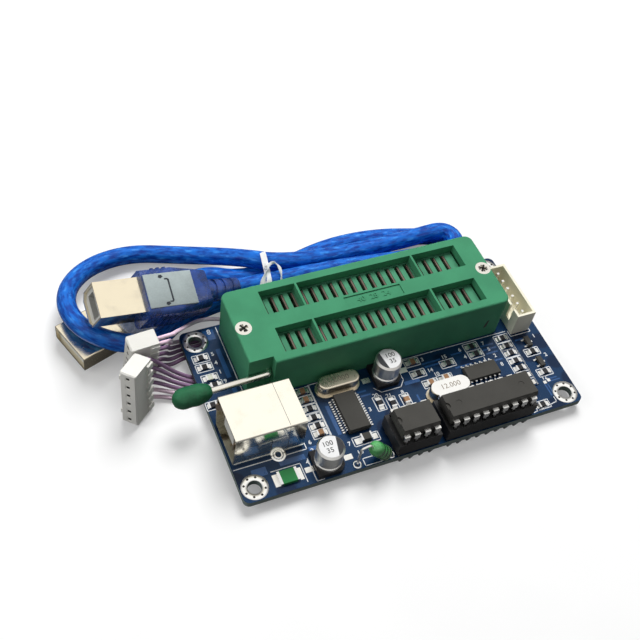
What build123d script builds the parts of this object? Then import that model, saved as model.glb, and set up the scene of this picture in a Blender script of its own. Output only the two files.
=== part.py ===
from build123d import *
import math
import os

# A bare programmer board with a 40-way lever socket, a USB inlet, two socketed chips and a
# programming header, and the two leads that belong to it. Millimetres. The origin is the
# centre of the four mounting holes, on the underside of the board. +X runs along the board
# away from the USB inlet, +Y runs to the lever socket's side, +Z is up.

# ---- Board ---------------------------------------------------------------------------------
BOARD_LENGTH = 86.0
BOARD_WIDTH = 47.0
BOARD_THICKNESS = 1.6
BOARD_CORNER = 1.5
HOLE_SPACING_X = 79.4
HOLE_SPACING_Y = 40.4
HOLE_RADIUS = 1.6
LEAD_SECTION = 0.6
LEAD_STAND = 1.8
SOLDER_RADIUS = 0.85
TIP_RADIUS = 0.3
PITCH = 2.54

# ---- Lever socket --------------------------------------------------------------------------
ZIF_PLACE = (-0.27, 12.09)
ZIF_SIDE_MARGIN = 3.48
ZIF_HEIGHT = 12.44
ZIF_CORNER = 2.0
ZIF_EDGE = 0.5
ZIF_WALL = 1.5
ZIF_TOP_PLATE = 2.3
ZIF_WAYS = 20
ZIF_ROW_SPACING = 15.24
NOTCH_LENGTH = 5.7
NOTCH_DEPTH = 1.8
WINDOW_FROM_LEFT = 8.72
WINDOW_FROM_RIGHT = 5.74
WINDOW_FROM_SIDE = 2.175
WINDOW_BAR = 4.15
FIRST_WAY_IN_WINDOW = 0.4
LAST_WAY_IN_WINDOW = 3.08
WINDOW_RIB = 0.5
RIB_WAYS = (4, 16)
NAME_RECESS = (14.7, 3.0, 0.3)
SLIDER_THICKNESS = 2.6
SLIDER_GAP = 0.2
SLIDER_TRAVEL = 1.2
SLIDER_END_GAP = 0.3
SLOT_WIDTH = 1.3
SLOT_IN_WINDOW = 0.325
CELL_WIDTH = 1.7
CELL_LENGTH = 3.6
CONTACT_SHEET = 0.25
CONTACT_WIDTH = 2.0
CONTACT_OPENING = 0.55
CONTACT_DEPTH = 5.2
SCREW_HEAD_RADIUS = 1.9
SCREW_HEAD_DEPTH = 1.1
SCREW_SHANK_RADIUS = 1.0
SCREW_LENGTH = 8.0
SCREW_FROM_END = 2.0

# ---- Lever ---------------------------------------------------------------------------------
ROD_RADIUS = 0.75
ROD_CLEARANCE = 0.05
PIVOT_FROM_END = 4.77
PIVOT_HEIGHT = 7.4
ROD_STANDOFF = 0.15
ROD_BEND = 0.85
ROD_REACH = 17.4
PIVOT_ARM = 19.0
KNOB_LENGTH = 9.3
KNOB_RADIUS = 2.5
KNOB_BORE_DEPTH = 4.0
LEVER_DROP = 0.9

# ---- USB inlet -----------------------------------------------------------------------------
USB_BACK_X = -26.13
USB_CENTRE_Y = -8.34
USB_LENGTH = 16.34
USB_WIDTH = 11.94
USB_HEIGHT = 10.87
USB_SHEET = 0.4
USB_CORNER = 0.6
USB_TONGUE = (8.9, 5.6, 3.2)
USB_REAR_BLOCK = 6.2
USB_LEG_WIDTH = 1.6
USB_LEG_FROM_BACK = 5.87
USB_LEAD_SPACING = 2.5
USB_LEAD_ROWS = (2.0, 4.0)

# ---- Socketed chips ------------------------------------------------------------------------
DIP_ROW_SPACING = 7.62
DIP_PLACES_Y = -19.03
CONTROLLER_X = 17.14
CONTROLLER_WAYS = 9
CONTROLLER_LENGTH = 22.6
MEMORY_X = -1.64
MEMORY_WAYS = 4
MEMORY_LENGTH = 9.3
DIP_BODY_WIDTH = 6.3
DIP_BODY_HEIGHT = 3.3
DIP_BODY_BASE = 5.0
DIP_DRAFT = 7.0
DIP_NOTCH_RADIUS = 0.9
DIP_DIMPLE_RADIUS = 0.75
SOCKET_WIDTH = 8.6
SOCKET_HEIGHT = 3.8
SOCKET_FOOT = 0.4
SOCKET_MARGIN = 1.5
SOCKET_OPENING = 3.4
SOCKET_POCKET = 0.9
SOCKET_POCKET_DEPTH = 2.6
CHIP_LEAD_WIDTH = 0.5
CHIP_SHOULDER_WIDTH = 1.4
CHIP_LEAD_SHEET = 0.25
CHIP_SHOULDER_DROP = 1.5

# ---- Surface-mounted chips: place, body, pitch and leads a side ----------------------------
BRIDGE_X = -12.4
BRIDGE_FROM_CRYSTAL = 0.25
BRIDGE_BODY = (5.3, 10.2, 1.75)
BRIDGE_PITCH = 0.65
BRIDGE_WAYS = 14
BRIDGE_LEAD_WIDTH = 0.3
LOGIC_PLACE = (22.4, -8.9)
LOGIC_BODY = (3.9, 8.65, 1.5)
LOGIC_PITCH = 1.27
LOGIC_WAYS = 7
LOGIC_LEAD_WIDTH = 0.42
GULL_REACH = 1.15
GULL_SHEET = 0.2
GULL_FOOT = 0.6
BODY_STANDOFF = 0.1

# ---- Crystals, capacitors, choke, fuse -----------------------------------------------------
CRYSTAL_X = -12.6
CRYSTAL_FROM_SOCKET = 0.59
FAR_CRYSTAL_PLACE = (11.85, -11.65)
CRYSTAL_BASE = (11.05, 4.7, 0.5)
CRYSTAL_CAN = (10.2, 3.8, 3.1)
CRYSTAL_LEAD_SPACING = 4.88
FRONT_CAPACITOR_PLACE = (-22.5, -19.7)
CAPACITOR_X = -0.5
CAPACITOR_FROM_SOCKET = 0.09
CAPACITOR_RADIUS = 3.15
CAPACITOR_HEIGHT = 7.0
CAPACITOR_BASE = (6.6, 1.3)
CAPACITOR_GROOVE = (0.3, 2.4)
CAPACITOR_EDGE = 0.5
CHOKE_TAIL = (-9.5, -22.25, 2.75)
CHOKE_DOME = (-13.6, -22.25, 7.8)
CHOKE_RADIUS = 1.75
CHOKE_LEAD_RADIUS = 0.3
CHOKE_LEFT_HOLE = (-16.3, -22.25)
CHOKE_RIGHT_HOLE = (-8.1, -22.25)
CHOKE_LEAD_BEND = 0.7
FUSE_PLACE = (-32.0, -20.3)
FUSE_BODY = (3.4, 3.2, 0.9)
FUSE_END = 0.6

# ---- Chip parts: centres of those that lie along X and along Y -----------------------------
CHIP_BODY = (2.0, 1.25, 0.5)
CHIP_END = 0.4
CHIP_END_SKIN = 0.05
RESISTORS_X = (
    (-40.0, 15.3), (-40.0, 12.6), (-39.3, 7.2), (-41.5, 2.15),
    (-20.95, -5.54), (-20.95, -8.0), (-20.95, -10.3),
    (7.6, -4.4), (15.9, -3.9), (23.8, -1.2), (23.9, -3.5),
    (32.5, -1.3), (32.5, -3.7), (32.5, -5.95), (32.5, -8.4), (32.5, -10.6),
    (38.0, -7.2), (37.9, -13.5), (32.4, -21.7),
)
RESISTORS_Y = ((-4.8, -9.2), (-1.8, -10.2))
CERAMICS_X = ((-20.95, -0.73), (-20.95, -3.12), (-21.0, -12.3), (7.5, -1.0), (9.3, -7.8), (13.4, -7.6))
CERAMICS_Y = ((1.6, -10.4),)
CERAMIC_HEIGHT = 0.85
INDICATOR_PLACE = (-39.7, 9.4)
DIODE_PLACE = (-11.65, -16.64)
DIODE_BODY = (2.7, 1.6, 1.1)
TRANSISTOR_PLACES = ((38.2, -4.4), (38.2, -10.65))
TRANSISTOR_BODY = (1.3, 2.9, 1.0)
TRANSISTOR_PITCH = 0.95
TRANSISTOR_LEAD_WIDTH = 0.4

# ---- Programming header --------------------------------------------------------------------
HEADER_FROM_SOCKET = 2.57
HEADER_Y = 7.4
HEADER_WAYS = 6
HEADER_PITCH = 2.5
HEADER_LENGTH = 16.4
HEADER_WIDTH = 5.1
HEADER_HEIGHT = 7.0
HEADER_WALL = 0.6
HEADER_FLOOR = 2.0
HEADER_SLOT_WIDTH = 1.6
HEADER_SLOT_SPACING = 10.0
HEADER_SLOT_DEPTH = 4.2
HEADER_PIN_HEIGHT = 6.2

# ---- Wire plugs and wires ------------------------------------------------------------------
PLUG_DEPTH = 6.6
PLUG_THICKNESS = 3.95
PLUG_LENGTH = 15.3
PLUG_CAVITY = 1.3
PLUG_CAVITY_DEPTH = 5.2
PLUG_RIB = (1.1, 0.55, 4.6)
PLUG_RIB_SPACING = 10.4
PLUG_TOOTH = 0.5
WIRE_RADIUS = 0.48
WIRE_STEP = 1.2
FRONT_PLUG_PLACE = (-59.6, 6.2, 6.7)
FRONT_PLUG_DEPTH_AXIS = (0.716, 0.682, -0.149)
FRONT_PLUG_LONG_AXIS = (0.04, 0.173, 0.984)
BACK_PLUG_PLACE = (-57.2, 16.3, 6.4)
BACK_PLUG_DEPTH_AXIS = (0.99, 0.087, -0.05)
BACK_PLUG_LONG_AXIS = (0.04, -0.12, 0.992)
WIRE_LAYER = -1.15
WIRE_ENTRY = (-44.6, 14.1)
WIRE_DIP_ANGLE = 32.2
WIRE_DIP_LENGTH = 10.6
WIRE_TURN_SIDE = 3.9
WIRE_TURN_CORNERS = 4
WIRE_BACK_X = -47.1
BACK_WIRE_SPREAD = 0.72
FRONT_WIRE_RUN = 1.76
BACK_WIRE_RUN = 1.42

# ---- USB lead ------------------------------------------------------------------------------
CABLE_RADIUS = 2.25
B_PLUG_PLACE = (-61.9, 27.1, 15.0)
B_PLUG_AXIS = (0.967, 0.075, -0.245)
B_PLUG_UP = (0.255, -0.351, 0.901)
B_SHELL = (11.1, 8.45, 7.78)
B_SHELL_CHAMFER = 1.6
B_SHELL_SHEET = 0.4
B_OVERMOULD = (16.6, 11.6, 10.2)
B_OVERMOULD_REAR = (9.2, 8.0)
B_OVERMOULD_STRAIGHT = 8.0
B_RELIEF_LENGTH = 9.0
A_PLUG_PLACE = (-67.6, 27.0, 1.75)
A_PLUG_YAW = 19.0
A_SHELL = (12.0, 12.0, 4.5)
A_SHELL_SHEET = 0.35
A_OVERMOULD = (18.0, 13.4, 7.0)
A_OVERMOULD_REAR = (8.0, 5.8)
A_OVERMOULD_STRAIGHT = 4.0
A_RELIEF_LENGTH = 6.0
OVERMOULD_CORNER = 1.8
RELIEF_RADIUS = 2.9
RELIEF_END_RADIUS = 2.5
RELIEF_RIBS = 4
HANK_LEFT = -18.0
HANK_WAIST_Y = 33.7
HANK_CORNER = 2.2
HANK_WAIST = (12.2, 9.1)
TIE_X = -16.6
TIE_BAND = 1.4
TIE_SHEET = 0.2
TIE_SLACK = 0.05
CABLE_FLOOR = CABLE_RADIUS - LEAD_STAND
LOOP_ROUTE = (
    (HANK_LEFT, 37.9, 4.75),
    (-24.6, 42.9, 2.5),
    (-35.2, 48.4, CABLE_FLOOR),
    (-46.6, 52.0, CABLE_FLOOR + 0.4),
    (-57.2, 50.0, 1.8),
    (-64.4, 42.8, 4.2),
    (-66.4, 33.8, 6.6),
    (-63.4, 25.9, 7.1),
    (-56.2, 21.3, 6.0),
    (-48.3, 22.45, 2.5),
    (-41.0, 28.7, CABLE_FLOOR + 0.1),
    (-29.6, 31.0, CABLE_FLOOR),
    (HANK_LEFT, 31.4, CABLE_FLOOR),
)
B_LEAD_ROUTE = ((-22.4, 30.1, 5.2), (HANK_LEFT, 30.1, 4.9))
A_LEAD_ROUTE = ((-30.2, 39.2, 1.4), (-24.5, 37.0, CABLE_FLOOR + 0.1), (HANK_LEFT, 36.0, CABLE_FLOOR))

FLOOR = -LEAD_STAND
TOP = BOARD_THICKNESS


# ---- Helpers -------------------------------------------------------------------------------
def block(size, place, base=TOP):
    """A box of the given size, centred on a place in plan and standing on a height."""
    length, width, height = size
    return Pos(place[0], place[1], base + height / 2) * Box(length, width, height)


def slab(size, corner, place, base):
    """A block whose upright edges are rounded."""
    length, width, height = size
    outline = RectangleRounded(length, width, corner)
    return extrude(Pos(place[0], place[1], base) * outline, height)


def row_places(centre, count, pitch, axis_x=True):
    """Centres of a row of leads about a centre, along X or along Y."""
    steps = [(i - (count - 1) / 2) * pitch for i in range(count)]
    if axis_x:
        return [(centre[0] + step, centre[1]) for step in steps]
    return [(centre[0], centre[1] + step) for step in steps]


def double_row(centre, count, pitch, spacing, axis_x=True):
    """Centres of two parallel rows of leads."""
    half = spacing / 2
    places = []
    for side in (-half, half):
        shifted = (centre[0], centre[1] + side) if axis_x else (centre[0] + side, centre[1])
        places += row_places(shifted, count, pitch, axis_x)
    return places


def through_lead(place, top=TOP):
    """A square lead from the board's underside up to a height."""
    return block((LEAD_SECTION, LEAD_SECTION, top), place, 0.0)


def frame_of(origin, x_axis, z_axis):
    """A plane whose Z follows z_axis and whose X is x_axis squared up to it."""
    z_direction = Vector(*z_axis).normalized()
    x_direction = Vector(*x_axis)
    x_direction = (x_direction - z_direction * x_direction.dot(z_direction)).normalized()
    return Plane(origin=origin, x_dir=x_direction, z_dir=z_direction)


def save(node, solids):
    """Write one node, from a shape or a list of separate shapes."""
    if isinstance(solids, (list, tuple)):
        flat = [solid for shape in solids for solid in shape.solids()]
        shape = Compound(children=flat) if len(flat) > 1 else flat[0]
    else:
        shape = solids
    export_step(shape, os.path.join("parts", node + ".step"))


# ---- Places of the leads that pass through the board ---------------------------------------
ways_length = (ZIF_WAYS - 1) * PITCH
window_length = FIRST_WAY_IN_WINDOW + ways_length + LAST_WAY_IN_WINDOW
zif_length = WINDOW_FROM_LEFT + window_length + WINDOW_FROM_RIGHT
zif_width = ZIF_ROW_SPACING + 2 * ZIF_SIDE_MARGIN
zif_left = ZIF_PLACE[0] - zif_length / 2
zif_right = ZIF_PLACE[0] + zif_length / 2
zif_front = ZIF_PLACE[1] - zif_width / 2
window_left = zif_left + WINDOW_FROM_LEFT
window_width = (zif_width - WINDOW_BAR) / 2 - WINDOW_FROM_SIDE
window_spacing = WINDOW_BAR + window_width
first_way = window_left + FIRST_WAY_IN_WINDOW
capacitor_places = [
    FRONT_CAPACITOR_PLACE,
    (CAPACITOR_X, zif_front - CAPACITOR_FROM_SOCKET - CAPACITOR_BASE[0] / 2)]
crystal_places = [
    (CRYSTAL_X, zif_front - CRYSTAL_FROM_SOCKET - CRYSTAL_BASE[1] / 2), FAR_CRYSTAL_PLACE]
bridge_back = crystal_places[0][1] - CRYSTAL_BASE[1] / 2 - BRIDGE_FROM_CRYSTAL
bridge_place = (BRIDGE_X, bridge_back - BRIDGE_BODY[1] / 2)
header_centre = (zif_right + HEADER_FROM_SOCKET + HEADER_WIDTH / 2, HEADER_Y)
zif_leads = double_row(
    (first_way + ways_length / 2, ZIF_PLACE[1]), ZIF_WAYS, PITCH, ZIF_ROW_SPACING)
controller_places = double_row(
    (CONTROLLER_X, DIP_PLACES_Y), CONTROLLER_WAYS, PITCH, DIP_ROW_SPACING)
memory_places = double_row((MEMORY_X, DIP_PLACES_Y), MEMORY_WAYS, PITCH, DIP_ROW_SPACING)
header_places = row_places(header_centre, HEADER_WAYS, HEADER_PITCH, axis_x=False)
usb_leads = [
    (USB_BACK_X - row, USB_CENTRE_Y + side * USB_LEAD_SPACING / 2)
    for row in USB_LEAD_ROWS for side in (-1, 1)]
usb_legs = [
    (USB_BACK_X - USB_LEG_FROM_BACK, USB_CENTRE_Y + side * (USB_WIDTH - USB_SHEET) / 2)
    for side in (-1, 1)]
crystal_leads = [
    place for centre in crystal_places for place in row_places(centre, 2, CRYSTAL_LEAD_SPACING)]
choke_leads = [CHOKE_LEFT_HOLE, CHOKE_RIGHT_HOLE]
square_leads = zif_leads + controller_places + memory_places + header_places + usb_leads
square_leads += crystal_leads
hole_places = [
    (x * HOLE_SPACING_X / 2, y * HOLE_SPACING_Y / 2) for x in (-1, 1) for y in (-1, 1)]


# ---- Board and solder ----------------------------------------------------------------------
def circuit_board():
    """The laminate, with its mounting holes and a tight hole for every lead."""
    board = slab((BOARD_LENGTH, BOARD_WIDTH, BOARD_THICKNESS), BOARD_CORNER, (0, 0), 0.0)
    cutters = [
        Pos(x, y, BOARD_THICKNESS / 2) * Cylinder(HOLE_RADIUS, BOARD_THICKNESS)
        for x, y in hole_places]
    cutters += [through_lead(place) for place in square_leads]
    cutters += [
        block((USB_LEG_WIDTH, USB_SHEET, BOARD_THICKNESS), place, 0.0) for place in usb_legs]
    cutters += [
        Pos(x, y, BOARD_THICKNESS / 2) * Cylinder(CHOKE_LEAD_RADIUS, BOARD_THICKNESS)
        for x, y in choke_leads]
    return board - cutters


def solder_joint(place, stretch=1.0):
    """A cone of solder that runs down to the trimmed tip of its lead."""
    wide = RegularPolygon(SOLDER_RADIUS * stretch, 8)
    narrow = RegularPolygon(TIP_RADIUS * stretch, 8)
    cone = loft([Pos(0, 0, FLOOR) * narrow, wide], ruled=True)
    return Pos(place[0], place[1], 0) * cone


# ---- USB inlet -----------------------------------------------------------------------------
def usb_box(length, inset):
    """The inlet's outline, set in from its outside and running back from the mouth."""
    width = USB_WIDTH - 2 * inset
    height = USB_HEIGHT - 2 * inset
    corner = max(USB_CORNER - inset, 0.15)
    mouth_x = USB_BACK_X - USB_LENGTH
    outline = Plane.YZ * RectangleRounded(width, height, corner)
    return extrude(Pos(mouth_x, USB_CENTRE_Y, TOP + USB_HEIGHT / 2) * outline, length)


def usb_contact(place, level):
    """A lead that rises inside the insulator and runs forward along the tongue."""
    x, y = place
    centre_z = TOP + USB_HEIGHT / 2
    face = centre_z + level * (USB_TONGUE[2] / 2 - CHIP_LEAD_SHEET / 2)
    rise = through_lead(place, face + CHIP_LEAD_SHEET / 2)
    front_x = USB_BACK_X - USB_SHEET - USB_REAR_BLOCK - USB_TONGUE[0] + 1.2
    run = x + LEAD_SECTION / 2 - front_x
    strip = Pos(front_x + run / 2, y, face) * Box(run, LEAD_SECTION, CHIP_LEAD_SHEET)
    return rise + strip


def usb_inlet():
    """Shell, insulator and contacts of the type B inlet."""
    shell = usb_box(USB_LENGTH, 0.0) - usb_box(USB_LENGTH - USB_SHEET, USB_SHEET)
    for x, y in usb_legs:
        shell += block((USB_LEG_WIDTH, USB_SHEET, TOP + USB_HEIGHT / 2), (x, y), 0.0)
    centre_z = TOP + USB_HEIGHT / 2
    rear = block(
        (USB_REAR_BLOCK, USB_WIDTH - 2 * USB_SHEET, USB_HEIGHT - 2 * USB_SHEET),
        (USB_BACK_X - USB_SHEET - USB_REAR_BLOCK / 2, USB_CENTRE_Y), TOP + USB_SHEET)
    rear &= usb_box(USB_LENGTH - USB_SHEET, USB_SHEET)
    tongue_x = USB_BACK_X - USB_SHEET - USB_REAR_BLOCK - USB_TONGUE[0] / 2
    tongue = Pos(tongue_x, USB_CENTRE_Y, centre_z) * Box(*USB_TONGUE)
    levels = [1 if i < 2 else -1 for i in range(len(usb_leads))]
    contacts = [usb_contact(place, level) for place, level in zip(usb_leads, levels)]
    insulator = rear + tongue - contacts
    shell -= [through_lead(place, TOP + USB_SHEET) for place in usb_leads]
    return shell, insulator, contacts


# ---- Lever socket --------------------------------------------------------------------------
zif_top = TOP + ZIF_HEIGHT
plate_under = zif_top - ZIF_TOP_PLATE
slider_top = plate_under - SLIDER_GAP
slider_base = slider_top - SLIDER_THICKNESS
base_top = slider_base - SLIDER_GAP
pivot_x = zif_left + PIVOT_FROM_END
pivot_z = TOP + PIVOT_HEIGHT
rod_y = zif_front + NOTCH_DEPTH - ROD_STANDOFF - ROD_RADIUS
slider_left = zif_left + NOTCH_LENGTH + ZIF_WALL + SLIDER_END_GAP
slider_right = window_left + window_length - 0.3
screw_places = ((zif_left + SCREW_FROM_END, ZIF_PLACE[1]), (zif_right - SCREW_FROM_END, ZIF_PLACE[1]))


def zif_outline():
    """The socket's plan, with the notch that the lever lies in."""
    outline = Pos(*ZIF_PLACE) * RectangleRounded(zif_length, zif_width, ZIF_CORNER)
    notch = Pos(zif_left + NOTCH_LENGTH / 2, zif_front + NOTCH_DEPTH / 2)
    return outline - notch * Rectangle(NOTCH_LENGTH, NOTCH_DEPTH)


def zif_core_outline():
    """The plan inside the cover's walls."""
    return offset(zif_outline().face(), amount=-ZIF_WALL, kind=Kind.INTERSECTION)


def rod_bore():
    """The lever's running bore, from the notch into the base."""
    length = ZIF_WALL + PIVOT_ARM
    start = zif_front + NOTCH_DEPTH
    turned = Pos(pivot_x, start + length / 2 - 0.5, pivot_z) * Rot(90, 0, 0)
    return turned * Cylinder(ROD_RADIUS + ROD_CLEARANCE, length + 1.0)


def window(row, first, last):
    """One opening in the cover, from one way to another, with upright walls."""
    edges = []
    for way in (first, last):
        if way == 0:
            edges.append(window_left)
        elif way == ZIF_WAYS:
            edges.append(window_left + window_length)
        else:
            middle = first_way + (way - 0.5) * PITCH
            edges.append(middle + (WINDOW_RIB / 2 if way == first else -WINDOW_RIB / 2))
    length = edges[1] - edges[0]
    place = (edges[0] + length / 2, ZIF_PLACE[1] + row * window_spacing / 2)
    return block((length, window_width, ZIF_TOP_PLATE), place, plate_under)


def zif_cover():
    """The outer shell: walls, windowed top, countersinks and the recess for a name."""
    cover = slab((zif_length, zif_width, ZIF_HEIGHT), ZIF_CORNER, ZIF_PLACE, TOP)
    cover = fillet(cover.faces().sort_by(Axis.Z)[-1].edges(), ZIF_EDGE)
    notch = (zif_left + NOTCH_LENGTH / 2, zif_front + NOTCH_DEPTH / 2)
    cover -= block((NOTCH_LENGTH, NOTCH_DEPTH, ZIF_HEIGHT), notch)
    cover -= extrude(Pos(0, 0, TOP) * zif_core_outline(), ZIF_HEIGHT - ZIF_TOP_PLATE)
    bounds = (0, *RIB_WAYS, ZIF_WAYS)
    cutters = [
        window(row, first, last) for row in (-1, 1) for first, last in zip(bounds, bounds[1:])]
    length, width, depth = NAME_RECESS
    middle = window_left + window_length / 2
    cutters.append(block((length, width, depth), (middle, ZIF_PLACE[1]), zif_top - depth))
    cutters += [screw_solid(place) for place in screw_places]
    cutters.append(rod_bore())
    return cover - cutters


def screw_solid(place):
    """A flat-headed screw without its drive, which also cuts its own seat."""
    x, y = place
    head = Pos(x, y, zif_top - SCREW_HEAD_DEPTH / 2) * Cone(
        SCREW_SHANK_RADIUS, SCREW_HEAD_RADIUS, SCREW_HEAD_DEPTH)
    shank = Pos(x, y, zif_top - SCREW_LENGTH / 2) * Cylinder(SCREW_SHANK_RADIUS, SCREW_LENGTH)
    return head + shank


def cover_screw(place):
    """The screw with its cross drive."""
    drive = block((2.2, 0.45, 0.6), place, zif_top - 0.6) + block((0.45, 2.2, 0.6), place, zif_top - 0.6)
    return screw_solid(place) - drive


def contact_profile():
    """One contact seen along Y: two leaves that lean to each other over a lead."""
    half = CONTACT_OPENING / 2
    outer = half + CONTACT_SHEET
    foot = base_top - CONTACT_DEPTH
    points = [
        (outer, foot), (outer, base_top - 0.6), (outer + 0.15, base_top),
        (half + 0.15, base_top), (half, base_top - 0.6), (half, foot + CONTACT_SHEET),
        (-half, foot + CONTACT_SHEET), (-half, base_top - 0.6), (-half - 0.15, base_top),
        (-outer - 0.15, base_top), (-outer, base_top - 0.6), (-outer, foot),
    ]
    return Plane.XZ * make_face(Polyline(*points, close=True))


def zif_contacts():
    """The forty contacts, each with its lead through the board."""
    leaf = extrude(contact_profile(), CONTACT_WIDTH / 2, both=True)
    foot = base_top - CONTACT_DEPTH
    contact = leaf + through_lead((0, 0), foot)
    return [Pos(x, y, 0) * contact for x, y in zif_leads]


def zif_base():
    """The body under the slider, with a cell for each contact and the lever's bore."""
    core = extrude(Pos(0, 0, TOP) * zif_core_outline(), plate_under - TOP)
    length = slider_right + SLIDER_TRAVEL + SLIDER_END_GAP - (slider_left - SLIDER_END_GAP)
    centre = slider_left - SLIDER_END_GAP + length / 2
    width = zif_width - 2 * ZIF_WALL
    pocket = block((length, width, plate_under - base_top), (centre, ZIF_PLACE[1]), base_top)
    cells = []
    floor = base_top - CONTACT_DEPTH
    for place in zif_leads:
        cells.append(block((CELL_WIDTH, CELL_LENGTH, CONTACT_DEPTH), place, floor))
        cells.append(through_lead(place, floor))
    cutters = [pocket, rod_bore()] + cells + [screw_solid(place) for place in screw_places]
    return core - cutters


def contact_slider():
    """The comb that the lever pushes along, seen through the windows."""
    length = slider_right - slider_left
    width = zif_width - 2 * ZIF_WALL - 2 * SLIDER_END_GAP
    centre = ((slider_left + slider_right) / 2, ZIF_PLACE[1])
    plate = block((length, width, SLIDER_THICKNESS), centre, slider_base)
    slot_length = window_width - 2 * SLOT_IN_WINDOW
    slots = [
        block((SLOT_WIDTH, slot_length, SLIDER_THICKNESS),
              (x, ZIF_PLACE[1] + side * window_spacing / 2), slider_base)
        for side in (-1, 1) for x, _ in zif_leads[:ZIF_WAYS]]
    return plate - slots


def clamp_lever():
    """The bent rod: the arm along the socket's left end and the pivot in the base."""
    knob_end = (pivot_x - ROD_REACH, rod_y, pivot_z - LEVER_DROP)
    elbow = (pivot_x, rod_y, pivot_z)
    inner = (pivot_x, rod_y + PIVOT_ARM, pivot_z)
    path = FilletPolyline(knob_end, elbow, inner, radius=ROD_BEND)
    return sweep(Plane(origin=path @ 0, z_dir=path % 0) * Circle(ROD_RADIUS), path=path)


def lever_knob(rod):
    """An egg-shaped grip moulded on the rod's end."""
    curve = EllipticalCenterArc((0, 0), KNOB_LENGTH / 2, KNOB_RADIUS, start_angle=0, arc_size=180)
    base = Line(curve @ 1, curve @ 0)
    body = revolve(make_face(curve + base), Axis.X)
    direction = Vector(ROD_REACH, 0, LEVER_DROP).normalized()
    end = Vector(pivot_x - ROD_REACH, rod_y, pivot_z - LEVER_DROP)
    centre = end + direction * (KNOB_BORE_DEPTH - KNOB_LENGTH / 2)
    seat = Plane(origin=centre, x_dir=direction, z_dir=(-direction.Z, 0, direction.X))
    return seat.location * body - rod


# ---- Chips in sockets ----------------------------------------------------------------------
socket_top = TOP + SOCKET_FOOT + SOCKET_HEIGHT
pocket_floor = socket_top - SOCKET_POCKET_DEPTH
chip_base = TOP + DIP_BODY_BASE
chip_middle = chip_base + DIP_BODY_HEIGHT / 2


def chip_socket(centre_x, ways):
    """An open-frame socket on four feet, with a pocket and a tight hole at each way."""
    length = (ways - 1) * PITCH + 2 * SOCKET_MARGIN
    centre = (centre_x, DIP_PLACES_Y)
    places = double_row(centre, ways, PITCH, DIP_ROW_SPACING)
    body = block((length, SOCKET_WIDTH, SOCKET_HEIGHT), centre, TOP + SOCKET_FOOT)
    body -= block((length - 2 * SOCKET_MARGIN, SOCKET_OPENING, SOCKET_HEIGHT), centre, TOP + SOCKET_FOOT)
    body -= [
        block((SOCKET_POCKET, SOCKET_POCKET - 0.2, SOCKET_POCKET_DEPTH), place, pocket_floor)
        for place in places]
    body -= [through_lead(place, pocket_floor) for place in places]
    inset = SOCKET_MARGIN / 2
    for x in (-length / 2 + inset, length / 2 - inset):
        for y in (-1, 1):
            foot_y = DIP_PLACES_Y + y * (SOCKET_WIDTH / 4)
            body += block((SOCKET_MARGIN, 1.0, SOCKET_FOOT), (centre_x + x, foot_y), TOP)
    return body


def socket_contacts(centre_x, ways):
    """The leads of a chip socket, from its pockets down through the board."""
    places = double_row((centre_x, DIP_PLACES_Y), ways, PITCH, DIP_ROW_SPACING)
    return [through_lead(place, pocket_floor) for place in places]


def dip_chip(centre_x, length, dimples):
    """A moulded chip: two drafted halves that meet at the leads, and the end notch."""
    half = DIP_BODY_HEIGHT / 2
    outline = Rectangle(length, DIP_BODY_WIDTH)
    upper = extrude(outline, half, taper=DIP_DRAFT)
    lower = extrude(outline, -half, taper=DIP_DRAFT)
    body = Pos(centre_x, DIP_PLACES_Y, chip_middle) * (upper + lower)
    top = chip_middle + half
    body -= Pos(centre_x - length / 2, DIP_PLACES_Y, top) * Cylinder(DIP_NOTCH_RADIUS, 0.8)
    for x in dimples:
        body -= Pos(centre_x + x, DIP_PLACES_Y, top) * Cylinder(DIP_DIMPLE_RADIUS, 0.2)
    return body


def dip_lead():
    """A lead on the +Y side, about the row's line, from the body down into the socket."""
    inner = DIP_BODY_WIDTH / 2 - DIP_ROW_SPACING / 2
    outer = CHIP_LEAD_SHEET / 2
    z = chip_middle
    run = Pos(0, (inner + outer) / 2, z) * Box(CHIP_SHOULDER_WIDTH, outer - inner, CHIP_LEAD_SHEET)
    shoulder_height = CHIP_SHOULDER_DROP
    shoulder = block(
        (CHIP_SHOULDER_WIDTH, CHIP_LEAD_SHEET, shoulder_height), (0, 0),
        z + CHIP_LEAD_SHEET / 2 - shoulder_height)
    tail_height = z + CHIP_LEAD_SHEET / 2 - shoulder_height - pocket_floor
    tail = block((CHIP_LEAD_WIDTH, CHIP_LEAD_SHEET, tail_height), (0, 0), pocket_floor)
    return run + shoulder + tail


def dip_leads(places):
    """Every lead of a chip, turned to its own side."""
    lead = dip_lead()
    leads = []
    for x, y in places:
        turn = Rot(0, 0, 0 if y > DIP_PLACES_Y else 180)
        leads.append(Pos(x, y, 0) * turn * lead)
    return leads


# ---- Surface-mounted chips -----------------------------------------------------------------
def flat_body(place, size):
    """A low moulded body that tapers above and below its leads."""
    length, width, height = size
    half = (height - BODY_STANDOFF) / 2
    outline = Rectangle(length, width)
    both = extrude(outline, half, taper=8) + extrude(outline, -half, taper=8)
    return Pos(place[0], place[1], TOP + BODY_STANDOFF + half) * both


def gull_lead(size, width, reach=GULL_REACH):
    """A gull-wing lead on the +X side of a body: shoulder, slope and foot."""
    length, _, height = size
    middle = BODY_STANDOFF + (height - BODY_STANDOFF) / 2
    low = middle - GULL_SHEET / 2
    high = middle + GULL_SHEET / 2
    shoulder = (reach - GULL_FOOT) / 2
    start = length / 2
    points = [
        (start, low), (start + shoulder, low), (start + reach - GULL_FOOT, 0),
        (start + reach, 0), (start + reach, GULL_SHEET),
        (start + reach - GULL_FOOT + 0.12, GULL_SHEET), (start + shoulder + 0.12, high),
        (start, high),
    ]
    profile = Plane.XZ * make_face(Polyline(*points, close=True))
    return extrude(profile, width / 2, both=True)


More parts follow.
